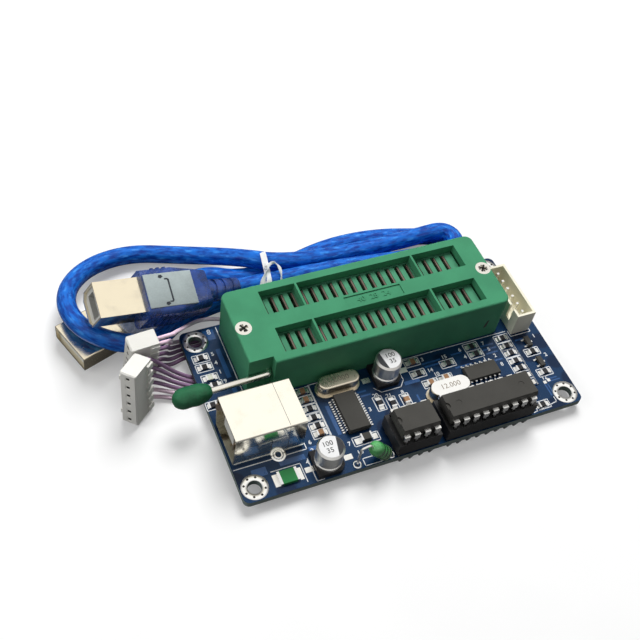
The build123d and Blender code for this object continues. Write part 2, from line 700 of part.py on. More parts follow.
def gull_leads(place, size, ways, pitch, width, turn=0):
    """The leads of a flat chip with rows on its two long sides."""
    lead = gull_lead(size, width)
    leads = []
    for side in (0, 180):
        for i in range(ways):
            step = (i - (ways - 1) / 2) * pitch
            leads.append(Rot(0, 0, side) * Pos(0, step, 0) * lead)
    return [Pos(place[0], place[1], TOP) * Rot(0, 0, turn) * each for each in leads]


def transistors():
    """Two small three-legged transistors: bodies and leads."""
    bodies, leads = [], []
    lead = gull_lead(TRANSISTOR_BODY, TRANSISTOR_LEAD_WIDTH, 0.7)
    for x, y in TRANSISTOR_PLACES:
        bodies.append(flat_body((x, y), TRANSISTOR_BODY))
        for side, step in ((0, 0), (180, TRANSISTOR_PITCH), (180, -TRANSISTOR_PITCH)):
            leads.append(Pos(x, y, TOP) * Rot(0, 0, side) * Pos(0, step, 0) * lead)
    return bodies, leads


# ---- Chip resistors and capacitors ---------------------------------------------------------
def chip_part(place, size, along_x=True):
    """One two-ended part: the body between its ends, and the two plated ends."""
    length, width, height = size
    middle = block((length - 2 * CHIP_END, width, height), (0, 0), 0.0)
    skin = CHIP_END_SKIN
    ends = [
        block((CHIP_END, width + 2 * skin, height + skin), (x, 0), 0.0)
        for x in (-(length - CHIP_END) / 2, (length - CHIP_END) / 2)]
    seat = Pos(place[0], place[1], TOP) * Rot(0, 0, 0 if along_x else 90)
    return seat * middle, [seat * end for end in ends]


def chip_groups():
    """Bodies of the resistors and ceramics, and the ends of them all."""
    resistors, ceramics, ends = [], [], []
    ceramic = (CHIP_BODY[0], CHIP_BODY[1], CERAMIC_HEIGHT)
    for places, along_x, size, group in (
            (RESISTORS_X, True, CHIP_BODY, resistors), (RESISTORS_Y, False, CHIP_BODY, resistors),
            (CERAMICS_X, True, ceramic, ceramics), (CERAMICS_Y, False, ceramic, ceramics)):
        for place in places:
            body, caps = chip_part(place, size, along_x)
            group.append(body)
            ends += caps
    indicator, caps = chip_part(INDICATOR_PLACE, CHIP_BODY)
    ends += caps
    diode, caps = chip_part(DIODE_PLACE, DIODE_BODY)
    ends += caps
    return resistors, ceramics, indicator, diode, ends


def fuse():
    """The resettable fuse and its ends."""
    length, width, height = FUSE_BODY
    body = block(FUSE_BODY, FUSE_PLACE)
    ends = [
        block((FUSE_END, width, height), (FUSE_PLACE[0] + x, FUSE_PLACE[1]))
        for x in (-(length + FUSE_END) / 2, (length + FUSE_END) / 2)]
    return body, ends


# ---- Crystals and electrolytic capacitors --------------------------------------------------
def pill(size, place, base):
    """An upright solid with half-round ends, its edges eased at the top."""
    length, width, height = size
    outline = SlotOverall(length, width)
    return extrude(Pos(place[0], place[1], base) * outline, height)


def crystals():
    """Cans and flanged bases; each base carries its two leads."""
    cans, bases = [], []
    for centre in crystal_places:
        base = pill(CRYSTAL_BASE, centre, TOP)
        for lead in row_places(centre, 2, CRYSTAL_LEAD_SPACING):
            base += through_lead(lead)
        bases.append(base)
        can = pill(CRYSTAL_CAN, centre, TOP + CRYSTAL_BASE[2])
        cans.append(fillet(can.faces().sort_by(Axis.Z)[-1].edges(), 0.4))
    return cans, bases


def capacitors():
    """Crimped cans on square bases."""
    cans, bases = [], []
    side, thickness = CAPACITOR_BASE
    groove_depth, groove_height = CAPACITOR_GROOVE
    r, top, base = CAPACITOR_RADIUS, CAPACITOR_HEIGHT, CAPACITOR_BASE[1]
    points = [
        (0, base), (r, base), (r, groove_height - 0.3), (r - groove_depth, groove_height),
        (r, groove_height + 0.3), (r, top - CAPACITOR_EDGE), (r - CAPACITOR_EDGE, top), (0, top),
    ]
    can = revolve(Plane.XZ * make_face(Polyline(*points, close=True)), Axis.Z)
    outline = chamfer(Rectangle(side, side).vertices().sort_by(Axis.X)[-2:], 1.2)
    seat = extrude(outline, thickness)
    for x, y in capacitor_places:
        cans.append(Pos(x, y, TOP) * can)
        bases.append(Pos(x, y, TOP) * seat)
    return cans, bases


# ---- Choke ---------------------------------------------------------------------------------
def choke():
    """The leaning choke: a dipped body with a round head, and its two bent leads."""
    tail, head = Vector(*CHOKE_TAIL), Vector(*CHOKE_DOME)
    axis = (head - tail).normalized()
    length = (head - tail).length
    seat = Plane(origin=tail, x_dir=(0, 1, 0), z_dir=axis)
    body = seat.location * revolve(Plane.XZ * choke_profile(length), Axis.Z)
    left = Vector(*CHOKE_LEFT_HOLE, 0)
    right = Vector(*CHOKE_RIGHT_HOLE, 0)
    over = head + axis * 1.1
    over_left = Vector(left.X, left.Y, over.Z - 0.6)
    leads = [
        wire_rod((head - axis * 0.3, over, over_left, left), CHOKE_LEAD_BEND),
        wire_rod((tail + axis * 0.3, Vector(right.X, right.Y, TOP + 0.75), right), 0.25),
    ]
    leads = [lead - body for lead in leads]
    return body, leads


def choke_profile(length):
    """Half of the choke's outline: flat tail, straight side and round head."""
    side = Line((CHOKE_RADIUS, 0.4), (CHOKE_RADIUS, length - CHOKE_RADIUS))
    head = CenterArc((0, length - CHOKE_RADIUS), CHOKE_RADIUS, 0, 90)
    rest = Polyline((0, length), (0, 0), (CHOKE_RADIUS - 0.4, 0), (CHOKE_RADIUS, 0.4))
    return make_face([side, head, rest])


def wire_rod(points, bend):
    """A round bent lead."""
    path = FilletPolyline(*[tuple(point) for point in points], radius=bend)
    return sweep(Plane(origin=path @ 0, z_dir=path % 0) * Circle(CHOKE_LEAD_RADIUS), path=path)


# ---- Programming header --------------------------------------------------------------------
def programming_header():
    """The shrouded header: four walls, a floor, two slots in one wall."""
    body = block((HEADER_WIDTH, HEADER_LENGTH, HEADER_HEIGHT), header_centre)
    cavity = (HEADER_WIDTH - 2 * HEADER_WALL, HEADER_LENGTH - 2 * HEADER_WALL,
              HEADER_HEIGHT - HEADER_FLOOR)
    body -= block(cavity, header_centre, TOP + HEADER_FLOOR)
    wall_x = header_centre[0] - HEADER_WIDTH / 2 + HEADER_WALL / 2
    for side in (-1, 1):
        place = (wall_x, header_centre[1] + side * HEADER_SLOT_SPACING / 2)
        body -= block(
            (HEADER_WALL, HEADER_SLOT_WIDTH, HEADER_SLOT_DEPTH), place,
            TOP + HEADER_HEIGHT - HEADER_SLOT_DEPTH)
    return body - [through_lead(place, TOP + HEADER_FLOOR) for place in header_places]


# ---- Wire plugs and wires ------------------------------------------------------------------
plug_ways = [(i - (HEADER_WAYS - 1) / 2) * HEADER_PITCH for i in range(HEADER_WAYS)]
front_plug_frame = frame_of(FRONT_PLUG_PLACE, FRONT_PLUG_DEPTH_AXIS, FRONT_PLUG_LONG_AXIS)
back_plug_frame = frame_of(BACK_PLUG_PLACE, BACK_PLUG_DEPTH_AXIS, BACK_PLUG_LONG_AXIS)


def wire_plug(frame):
    """A six-way housing: X runs from the mating face to the wires, Z along the ways."""
    body = Pos(PLUG_DEPTH / 2, 0, 0) * Box(PLUG_DEPTH, PLUG_THICKNESS, PLUG_LENGTH)
    body = chamfer(body.faces().sort_by(Axis.X)[0].edges(), 0.3)
    rib_width, rib_height, rib_length = PLUG_RIB
    for side in (-1, 1):
        place = Pos(rib_length / 2 + 0.6, PLUG_THICKNESS / 2 + rib_height / 2, side * PLUG_RIB_SPACING / 2)
        body += place * Box(rib_length, rib_height, rib_width)
    for z in plug_ways:
        tooth_y = -PLUG_THICKNESS / 2 - PLUG_TOOTH / 2
        body += Pos(PLUG_DEPTH - 1.0, tooth_y, z) * Box(2.0, PLUG_TOOTH, 1.4)
        body -= Pos(PLUG_CAVITY_DEPTH / 2, 0, z) * Box(PLUG_CAVITY_DEPTH, PLUG_CAVITY, PLUG_CAVITY)
    return frame.location * body


def inner_turn():
    """Corners of the innermost wire's way under the board, with the heading after each."""
    x, y = WIRE_ENTRY
    heading = -WIRE_DIP_ANGLE
    corners = [(x, y, 0.0, heading)]
    length = WIRE_DIP_LENGTH
    turn = (180 + WIRE_DIP_ANGLE) / WIRE_TURN_CORNERS
    for _ in range(WIRE_TURN_CORNERS):
        x += length * math.cos(math.radians(heading))
        y += length * math.sin(math.radians(heading))
        corners.append((x, y, heading, heading + turn))
        heading += turn
        length = WIRE_TURN_SIDE
    corners.append((WIRE_BACK_X, y, 180.0, 180.0))
    return corners


def beside(corner, distance):
    """A corner moved out to the right of its headings, so that the runs stay parallel."""
    x, y, before, after = corner
    middle = math.radians((before + after) / 2)
    shift = distance / math.cos(math.radians((after - before) / 2))
    return (x + shift * math.sin(middle), y - shift * math.cos(middle), WIRE_LAYER)


def wire_route(index):
    """Points of one wire, from the front plug, under the board and round to the back plug."""
    way = plug_ways[index]
    lane = HEADER_WAYS - 1 - index
    outward = lane * WIRE_STEP
    back_run = PLUG_DEPTH + BACK_WIRE_RUN + lane * BACK_WIRE_SPREAD
    front = [(PLUG_DEPTH, 0, way), (PLUG_DEPTH + FRONT_WIRE_RUN, 0, way)]
    back = [(back_run, 0, -way), (PLUG_DEPTH, 0, -way)]
    points = [tuple(front_plug_frame.from_local_coords(Vector(*point))) for point in front]
    points += [beside(corner, outward) for corner in inner_turn()]
    points += [tuple(back_plug_frame.from_local_coords(Vector(*point))) for point in back]
    return points


# ---- USB lead ------------------------------------------------------------------------------
b_frame = frame_of(B_PLUG_PLACE, B_PLUG_AXIS, B_PLUG_UP)
a_axis = (math.cos(math.radians(A_PLUG_YAW)), math.sin(math.radians(A_PLUG_YAW)), 0.0)
a_frame = frame_of(A_PLUG_PLACE, a_axis, (0, 0, 1))


def corner_radii(points):
    """The largest even bend at each corner: 0.45 of the shorter run over tan(half turn)."""
    vectors = [Vector(*point) for point in points]
    radii = []
    for before, here, after in zip(vectors, vectors[1:], vectors[2:]):
        run_in, run_out = here - before, after - here
        half = math.radians(run_in.get_angle(run_out)) / 2
        radii.append(0.45 * min(run_in.length, run_out.length) / math.tan(half))
    return radii


def cord_tube(name, points, radius):
    """A plain tube along straight runs joined by tangent arcs; prints its bends."""
    radii = corner_radii(points)
    path = FilletPolyline(*points, radius=radii)
    tube = sweep(Plane(origin=path @ 0, z_dir=path % 0) * Circle(radius), path=path)
    expected = math.pi * radius ** 2 * path.length
    print(name, "length", round(path.length, 1), "volume share", round(tube.volume / expected, 4),
          "bends in diameters", [round(r / (2 * radius), 1) for r in radii])
    return tube


def strain_relief(start, length):
    """A ribbed, tapering sleeve along X."""
    sleeve = Pos(start + length / 2, 0, 0) * Rot(0, 90, 0) * Cone(
        RELIEF_RADIUS, RELIEF_END_RADIUS, length)
    step = length / (2 * RELIEF_RIBS)
    for i in range(1, RELIEF_RIBS):
        x = start + 2 * i * step
        ring = Rot(0, 90, 0) * (Cylinder(RELIEF_RADIUS + 1, step * 0.8) - Cylinder(CABLE_RADIUS + 0.1, step * 0.8))
        sleeve -= Pos(x, 0, 0) * ring
    return sleeve


def overmould(start, size, straight, rear_size, relief):
    """A grip of even section, then tapering to the ribbed relief, along X."""
    length, width, height = size
    corner = OVERMOULD_CORNER
    front = Plane.YZ * RectangleRounded(width, height, corner)
    rear = Plane.YZ * RectangleRounded(*rear_size, corner)
    grip = extrude(Pos(start, 0, 0) * front, straight)
    grip += loft([Pos(start + straight, 0, 0) * front, Pos(start + length, 0, 0) * rear])
    return grip + strain_relief(start + length, relief)


def usb_b_plug():
    """Shell, insert and overmould of the type B plug, with the mouth at its own origin."""
    length, width, height = B_SHELL
    outline = Plane.YZ * Rectangle(width, height)
    corners = outline.vertices().sort_by(Axis.Z)[:2]
    outer = chamfer(corners, B_SHELL_CHAMFER)
    inner = offset(outer.face(), amount=-B_SHELL_SHEET, kind=Kind.INTERSECTION)
    shell = extrude(outer, length) - extrude(inner, length)
    insert = extrude(Pos(0.6, 0, 0) * inner, length - 0.6)
    cavity_height = 3.4
    insert -= Pos(0.6 + (length - 2) / 2, 0, 0) * Box(length - 2, 5.8, cavity_height)
    mould = overmould(length, B_OVERMOULD, B_OVERMOULD_STRAIGHT, B_OVERMOULD_REAR, B_RELIEF_LENGTH)
    return [b_frame.location * piece for piece in (shell, insert, mould)]


def usb_a_plug():
    """Shell, insert and overmould of the type A plug, with the mouth at its own origin."""
    length, width, height = A_SHELL
    shell = Pos(length / 2, 0, 0) * Box(length, width, height)
    sheet = A_SHELL_SHEET
    inner = Pos(length / 2, 0, 0) * Box(length, width - 2 * sheet, height - 2 * sheet)
    shell = fillet(shell.edges().filter_by(Axis.X), 0.4) - inner
    tongue_height = (height - 2 * sheet) / 2
    insert = Pos(length / 2 + 0.4, 0, -tongue_height / 2) * Box(
        length - 0.8, width - 2 * sheet, tongue_height)
    mould = overmould(length, A_OVERMOULD, A_OVERMOULD_STRAIGHT, A_OVERMOULD_REAR, A_RELIEF_LENGTH)
    return [a_frame.location * piece for piece in (shell, insert, mould)]


def hank_section(x, width, height, middle, lift=0.0):
    """One upright section of the hank, standing on the surface or lifted off it."""
    outline = Plane.YZ * RectangleRounded(width, height, HANK_CORNER)
    return Pos(x, middle, FLOOR + lift + height / 2) * outline


def usb_hank():
    """The tied bundle behind the board, as one closed solid of its outer shape."""
    waist_height = HANK_WAIST[1] - TIE_SHEET - TIE_SLACK
    waist = (HANK_WAIST[0], waist_height, HANK_WAIST_Y, TIE_SHEET + TIE_SLACK)
    sections = [
        hank_section(HANK_LEFT, *waist),
        hank_section(TIE_X + TIE_BAND + 1.0, *waist),
        hank_section(-4.0, 16.3, 9.0, 33.2),
        hank_section(10.0, 17.8, 8.8, 33.3),
        hank_section(20.0, 17.0, 8.8, 32.7),
        hank_section(29.0, 14.2, 9.0, 31.3),
        hank_section(35.8, 8.6, 8.8, 30.2),
    ]
    return loft(sections, ruled=True)


def twist_tie():
    """A paper-covered wire round the bundle's waist."""
    width, height = HANK_WAIST
    slack = 2 * TIE_SLACK
    room = hank_section(TIE_X, width + slack, height - TIE_SHEET + TIE_SLACK, HANK_WAIST_Y, TIE_SHEET)
    outside = hank_section(
        TIE_X, width + slack + 2 * TIE_SHEET, height + TIE_SLACK + TIE_SHEET, HANK_WAIST_Y)
    return extrude(outside, TIE_BAND) - extrude(room, TIE_BAND)


def b_lead_route():
    """Points of the cable from the type B plug's relief into the hank."""
    start = B_SHELL[0] + B_OVERMOULD[0] + B_RELIEF_LENGTH
    return [tuple(b_frame.from_local_coords(Vector(start, 0, 0))), *B_LEAD_ROUTE]


def a_lead_route():
    """Points of the cable from the type A plug's relief into the hank."""
    start = A_SHELL[0] + A_OVERMOULD[0] + A_RELIEF_LENGTH
    return [tuple(a_frame.from_local_coords(Vector(start, 0, 0))), *A_LEAD_ROUTE]


# ---- Build ---------------------------------------------------------------------------------
def main():
    os.makedirs("parts", exist_ok=True)
    save("circuit_board", circuit_board())
    joints = [solder_joint(place) for place in square_leads + choke_leads]
    joints += [solder_joint(place, 1.35) for place in usb_legs]
    save("solder_joints", joints)

    shell, insulator, contacts = usb_inlet()
    save("usb_socket_shell", shell)
    save("usb_socket_insulator", insulator)
    save("usb_socket_contacts", contacts)

    save("zif_base", zif_base())
    save("zif_cover", zif_cover())
    save("contact_slider", contact_slider())
    save("zif_contacts", zif_contacts())
    save("cover_screws", [cover_screw(place) for place in screw_places])
    rod = clamp_lever()
    save("clamp_lever", rod)
    save("lever_knob", lever_knob(rod))

    save("controller_socket", chip_socket(CONTROLLER_X, CONTROLLER_WAYS))
    save("controller_socket_contacts", socket_contacts(CONTROLLER_X, CONTROLLER_WAYS))
    save("controller_chip", dip_chip(CONTROLLER_X, CONTROLLER_LENGTH, (-8.2, 8.2)))
    save("controller_leads", dip_leads(controller_places))
    save("memory_socket", chip_socket(MEMORY_X, MEMORY_WAYS))
    save("memory_socket_contacts", socket_contacts(MEMORY_X, MEMORY_WAYS))
    save("memory_chip", dip_chip(MEMORY_X, MEMORY_LENGTH, ()))
    save("memory_leads", dip_leads(memory_places))

    save("usb_bridge_chip", flat_body(bridge_place, BRIDGE_BODY))
    save("usb_bridge_leads", gull_leads(
        bridge_place, BRIDGE_BODY, BRIDGE_WAYS, BRIDGE_PITCH, BRIDGE_LEAD_WIDTH))
    logic = Pos(*LOGIC_PLACE, 0) * Rot(0, 0, 90) * flat_body((0, 0), LOGIC_BODY)
    save("logic_chip", logic)
    save("logic_leads", gull_leads(
        LOGIC_PLACE, LOGIC_BODY, LOGIC_WAYS, LOGIC_PITCH, LOGIC_LEAD_WIDTH, 90))

    cans, bases = crystals()
    save("crystal_cans", cans)
    save("crystal_bases", bases)
    cans, bases = capacitors()
    save("capacitor_cans", cans)
    save("capacitor_bases", bases)
    body, leads = choke()
    save("choke_body", body)
    save("choke_leads", leads)
    body, ends = fuse()
    save("resettable_fuse", body)
    save("fuse_terminals", ends)

    resistors, ceramics, indicator, diode, ends = chip_groups()
    save("chip_resistors", resistors)
    save("chip_capacitors", ceramics)
    save("indicator_led", indicator)
    save("diode", diode)
    save("chip_terminals", ends)
    bodies, leads = transistors()
    save("transistors", bodies)
    save("transistor_leads", leads)

    save("programming_header", programming_header())
    save("header_pins", [through_lead(place, TOP + HEADER_PIN_HEIGHT) for place in header_places])

    save("wire_plug_front", wire_plug(front_plug_frame))
    save("wire_plug_back", wire_plug(back_plug_frame))
    for index in range(HEADER_WAYS):
        name = f"programming_wire_{index + 1}"
        save(name, cord_tube(name, wire_route(index), WIRE_RADIUS))

    for name, piece in zip(("shell", "insert", "overmould"), usb_b_plug()):
        save("usb_b_plug_" + name, piece)
    for name, piece in zip(("shell", "insert", "overmould"), usb_a_plug()):
        save("usb_a_plug_" + name, piece)
    save("usb_cable_loop", cord_tube("usb_cable_loop", LOOP_ROUTE, CABLE_RADIUS))
    save("usb_cable_b_lead", cord_tube("usb_cable_b_lead", b_lead_route(), CABLE_RADIUS))
    save("usb_cable_a_lead", cord_tube("usb_cable_a_lead", a_lead_route(), CABLE_RADIUS))
    save("usb_cable_hank", usb_hank())
    save("twist_tie", twist_tie())


if __name__ == "__main__":
    main()
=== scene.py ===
"""Looks of a bare programmer board with its lever socket, chips, cable and six-wire lead.

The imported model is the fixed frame. Each class below dresses one sub-assembly: it gives the
carried-over solids their finishes and adds the small pieces that they lack. Sizes are in
millimetres in the row's frame and become metres where a mesh is made.
"""

from __future__ import annotations

import logging
import math
from collections.abc import Callable, Iterable, Sequence
from dataclasses import dataclass, field
from enum import Enum

import bmesh  # noqa: E402
import bpy  # noqa: E402
from mathutils import Matrix, Vector  # noqa: E402

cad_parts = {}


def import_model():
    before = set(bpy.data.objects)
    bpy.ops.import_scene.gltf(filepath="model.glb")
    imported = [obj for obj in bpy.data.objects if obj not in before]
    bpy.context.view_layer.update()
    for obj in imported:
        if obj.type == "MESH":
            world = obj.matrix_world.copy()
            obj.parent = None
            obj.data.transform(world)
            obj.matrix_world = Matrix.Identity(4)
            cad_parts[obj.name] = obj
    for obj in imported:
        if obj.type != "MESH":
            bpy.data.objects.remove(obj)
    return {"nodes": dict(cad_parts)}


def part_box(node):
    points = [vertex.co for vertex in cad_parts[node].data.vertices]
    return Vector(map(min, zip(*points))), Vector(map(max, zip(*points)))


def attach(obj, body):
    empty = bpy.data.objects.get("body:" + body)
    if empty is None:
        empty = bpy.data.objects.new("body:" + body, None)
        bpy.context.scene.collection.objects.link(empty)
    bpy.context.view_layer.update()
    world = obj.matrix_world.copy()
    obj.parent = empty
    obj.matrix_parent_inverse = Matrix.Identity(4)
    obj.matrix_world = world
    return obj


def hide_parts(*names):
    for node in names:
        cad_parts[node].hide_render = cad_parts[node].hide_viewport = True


LOG = logging.getLogger("programmer")
MM = 0.001

Point = tuple[float, float, float]
Flat = tuple[float, float]
Colour = tuple[float, float, float]

BOARD_TOP = 1.6
FLOOR_LEVEL = -1.8


class Body(Enum):
    """The rigid bodies of the model."""

    ROOT = "root"
    LEVER = "lever"
    SLIDER = "slider"


# ---- Shader maths ----------------------------------------------------------------------------
class Value:
    """A number that changes over a surface; arithmetic on it adds the nodes it needs."""

    def __init__(self, graph: Graph, socket: bpy.types.NodeSocket) -> None:
        """Wrap one output socket of a graph."""
        self.graph = graph
        self.socket = socket

    def _maths(self, operation: str, *others: Value | float, first: float | None = None) -> Value:
        """Add one Math node.

        Args:
            operation: The node's operation.
            others: What follows this value.
            first: A number that comes before this value.

        Returns:
            The node's result.
        """
        values = [self, *others] if first is None else [first, self]
        node = self.graph.add("ShaderNodeMath", {"operation": operation}, *values)
        return Value(self.graph, node.outputs[0])

    def __add__(self, other: Value | float) -> Value:
        """Sum."""
        return self._maths("ADD", other)

    __radd__ = __add__

    def __sub__(self, other: Value | float) -> Value:
        """Difference."""
        return self._maths("SUBTRACT", other)

    def __rsub__(self, other: float) -> Value:
        """Difference from a number."""
        return self._maths("SUBTRACT", first=other)

    def __mul__(self, other: Value | float) -> Value:
        """Product."""
        return self._maths("MULTIPLY", other)

    __rmul__ = __mul__

    def __truediv__(self, other: Value | float) -> Value:
        """Quotient."""
        return self._maths("DIVIDE", other)

    def __abs__(self) -> Value:
        """Size without its sign."""
        return self._maths("ABSOLUTE")

    def wave(self) -> Value:
        """Sine."""
        return self._maths("SINE")

    def most(self, other: Value | float) -> Value:
        """The larger of the two."""
        return self._maths("MAXIMUM", other)

    def ramp(self, low: float, high: float, start: float = 0.0, end: float = 1.0) -> Value:
        """A smooth change from one number to another.

        Args:
            low: Where the change begins.
            high: Where it ends.
            start: The result at and before low.
            end: The result at and after high.

        Returns:
            The changing number.
        """
        settings = {"interpolation_type": "SMOOTHSTEP"}
        node = self.graph.add("ShaderNodeMapRange", settings, self, low, high, start, end)
        return Value(self.graph, node.outputs[0])


class Graph:
    """The nodes of one material."""

    def __init__(self, name: str) -> None:
        """Start an empty material.

        Args:
            name: The material's name.
        """
        self.material = bpy.data.materials.new(name)
        self.material.use_nodes = True
        self.tree = self.material.node_tree
        self.tree.nodes.clear()
        self._places: dict[str, bpy.types.NodeSocket] = {}

    def link(self, value: object, socket: bpy.types.NodeSocket) -> None:
        """Put a value, a colour, a socket or a Value into an input."""
        if isinstance(value, Value):
            value = value.socket
        if isinstance(value, bpy.types.NodeSocket):
            self.tree.links.new(value, socket)
        elif isinstance(value, (tuple, list)) and socket.type == "RGBA" and len(value) == 3:
            socket.default_value = (*value, 1.0)
        else:
            socket.default_value = value

    def add(self, kind: str, settings: dict[str, object] | None = None, *values: object,
            **named: object) -> bpy.types.Node:
        """Add a node, its settings first and then its inputs.

        Args:
            kind: The node's type.
            settings: Its properties.
            values: Its inputs, in order.
            named: Its inputs by name, with underscores for spaces.

        Returns:
            The node.
        """
        node = self.tree.nodes.new(kind)
        for key, value in (settings or {}).items():
            setattr(node, key, value)
        for value, socket in zip(values, node.inputs):
            self.link(value, socket)
        for key, value in named.items():
            self.link(value, node.inputs[key.replace("_", " ")])
        return node

    def place(self, source: str = "Object") -> bpy.types.NodeSocket:
        """Object coordinates, or the piece's own UV map."""
        if source not in self._places:
            node = self.add("ShaderNodeTexCoord")
            self._places[source] = node.outputs[source]
        return self._places[source]

    def axes(self, source: str = "Object") -> tuple[Value, Value, Value]:
        """The three coordinates as separate values."""
        node = self.add("ShaderNodeSeparateXYZ", None, self.place(source))
        return Value(self, node.outputs[0]), Value(self, node.outputs[1]), Value(self, node.outputs[2])

    def noise(self, scale: float, detail: float = 2.0, stretch: Point | None = None,
              source: str = "Object") -> Value:
        """Smooth noise from 0 to 1.

        Args:
            scale: Cells in a metre, or in a UV unit.
            detail: Finer octaves.
            stretch: A further scale along each axis.
            source: The coordinates it lies on.

        Returns:
            The noise.
        """
        place = self.place(source)
        if stretch is not None:
            place = self.add("ShaderNodeMapping", None, Vector=place, Scale=stretch).outputs[0]
        node = self.add("ShaderNodeTexNoise", None, Vector=place, Scale=scale, Detail=detail)
        return Value(self, node.outputs[0])

    def cells(self, scale: float, feature: str = "F1", stretch: Point | None = None) -> Value:
        """Distance from the nearest of scattered points.

        Args:
            scale: How fine the pattern is.
            feature: Which distance is meant, as the node names it.
            stretch: A factor on each axis, if the pattern is drawn out.

        Returns:
            The distance.
        """
        place = self.place()
        if stretch is not None:
            place = self.add("ShaderNodeMapping", None, Vector=place, Scale=stretch).outputs[0]
        node = self.add("ShaderNodeTexVoronoi", {"feature": feature}, Vector=place, Scale=scale)
        return Value(self, node.outputs["Distance"])

    def mix(self, share: Value, first: object, second: object) -> bpy.types.NodeSocket:
        """Blend two colours.

        Args:
            share: From 0, all of the first colour, to 1, all of the second.
            first: A colour or its socket.
            second: The other colour or its socket.

        Returns:
            The blended colour's socket.
        """
        node = self.add("ShaderNodeMix", {"data_type": "RGBA"})
        self.link(share, node.inputs[0])
        self.link(first, node.inputs[6])
        self.link(second, node.inputs[7])
        return node.outputs[2]

    def bump(self, height: Value, depth: float, strength: float = 1.0) -> bpy.types.NodeSocket:
        """A normal from a height; depth is in metres."""
        node = self.add("ShaderNodeBump", None, Height=height, Distance=depth, Strength=strength)
        return node.outputs[0]

    def surface(self, **inputs: object) -> bpy.types.Material:
        """End the graph in a Principled shader.

        Args:
            inputs: Its inputs by name, with underscores for spaces.

        Returns:
            The material.
        """
        shader = self.add("ShaderNodeBsdfPrincipled", None, **inputs)
        return self.end(shader.outputs[0])

    def end(self, shader: bpy.types.NodeSocket) -> bpy.types.Material:
        """Join a shader to the output.

        Args:
            shader: The shader's socket.

        Returns:
            The material.
        """
        output = self.add("ShaderNodeOutputMaterial")
        self.tree.links.new(shader, output.inputs[0])
        return self.material


# ---- Finishes --------------------------------------------------------------------------------
@dataclass(frozen=True)
class Moulding:
    """Moulded plastic: a tint that drifts a little, and fine grain."""

    name: str
    colour: Colour
    roughness: float = 0.45
    grain: float = 9000.0
    grain_depth: float = 0.012
    drift: float = 0.12
    coat: float = 0.0
    gloss: float = 0.3

    def material(self) -> bpy.types.Material:
        """Build the finish.

        Returns:
            The material.
        """
        graph = Graph(self.name)
        slow = graph.noise(160.0, 3.0)
        fine = graph.noise(self.grain, 2.0)
        dark = tuple(part * (1.0 - self.drift) for part in self.colour)
        light = tuple(min(part * (1.0 + self.drift), 1.0) for part in self.colour)
        share = (slow * 0.75 + fine * 0.25).ramp(0.32, 0.68)
        rough = (slow * 0.7 + fine * 0.3).ramp(0.3, 0.7, self.roughness - 0.06, self.roughness + 0.07)
        return graph.surface(
            Base_Color=graph.mix(share, dark, light), Roughness=rough,
            Coat_Weight=self.coat, Coat_Roughness=0.15, Specular_IOR_Level=self.gloss,
            Normal=graph.bump(fine, self.grain_depth * MM))


@dataclass(frozen=True)
class Plating:
    """Plated or drawn metal with fine draw lines and faint stains."""

    name: str
    colour: Colour
    roughness: float = 0.22
    stretch: Point = (1.0, 1.0, 1.0)
    line_depth: float = 0.004
    stain: Colour = (0.5, 0.45, 0.38)
    stained: float = 0.25

    def material(self) -> bpy.types.Material:
        """Build the finish.

        Returns:
            The material.
        """
        graph = Graph(self.name)
        lines = graph.noise(5200.0, 2.0, self.stretch)
        slow = graph.noise(240.0, 3.0)
        share = slow.ramp(0.5, 0.78, 0.0, self.stained)
        rough = (lines * 0.5 + slow * 0.5).ramp(
            0.3, 0.7, max(self.roughness - 0.07, 0.04), self.roughness + 0.1)
        return graph.surface(
            Base_Color=graph.mix(share, self.colour, self.stain), Metallic=1.0, Roughness=rough,
            Normal=graph.bump(lines, self.line_depth * MM))


@dataclass(frozen=True)
class SolderMask:
    """Dark blue mask over the laminate: copper shows through it as lighter lanes, edges are bare."""

    name: str = "board_mask"
    mask: Colour = (0.004, 0.016, 0.048)
    over_copper: Colour = (0.010, 0.042, 0.110)
    laminate: Colour = (0.20, 0.24, 0.23)

    def material(self) -> bpy.types.Material:
        """Build the finish.

        Returns:
            The material.
        """
        graph = Graph(self.name)
        x, y, z = graph.axes()
        pour = graph.cells(155.0, "F1", (1.0, 1.0, 0.0)).ramp(0.30, 0.42)
        weave = (x * (math.tau * 1400)).wave() * (y * (math.tau * 1400)).wave()
        fine = graph.noise(2600.0, 2.0)
        deep = graph.mix(weave.ramp(-0.6, 0.8) * 0.25, self.mask, (0.008, 0.027, 0.078))
        copper = graph.mix(pour * 0.75, deep, self.over_copper)
        inside = z.ramp(0.02 * MM, 0.06 * MM) * z.ramp(1.54 * MM, 1.58 * MM, 1.0, 0.0)
        layers = (z * (math.tau / (0.2 * MM))).wave().ramp(-1.0, 1.0, 0.8, 1.0)
        edge = graph.mix(layers * fine.ramp(0.3, 0.7, 0.75, 1.0), (0.13, 0.17, 0.15), self.laminate)
        return graph.surface(
            Base_Color=graph.mix(inside, copper, edge),
            Roughness=inside.ramp(0.0, 1.0, 0.24, 0.75),
            Coat_Weight=0.04, Coat_Roughness=0.1, Specular_IOR_Level=0.16,
            Normal=graph.bump(pour * 0.6 + weave * 0.12 + fine * 0.1, 0.02 * MM))


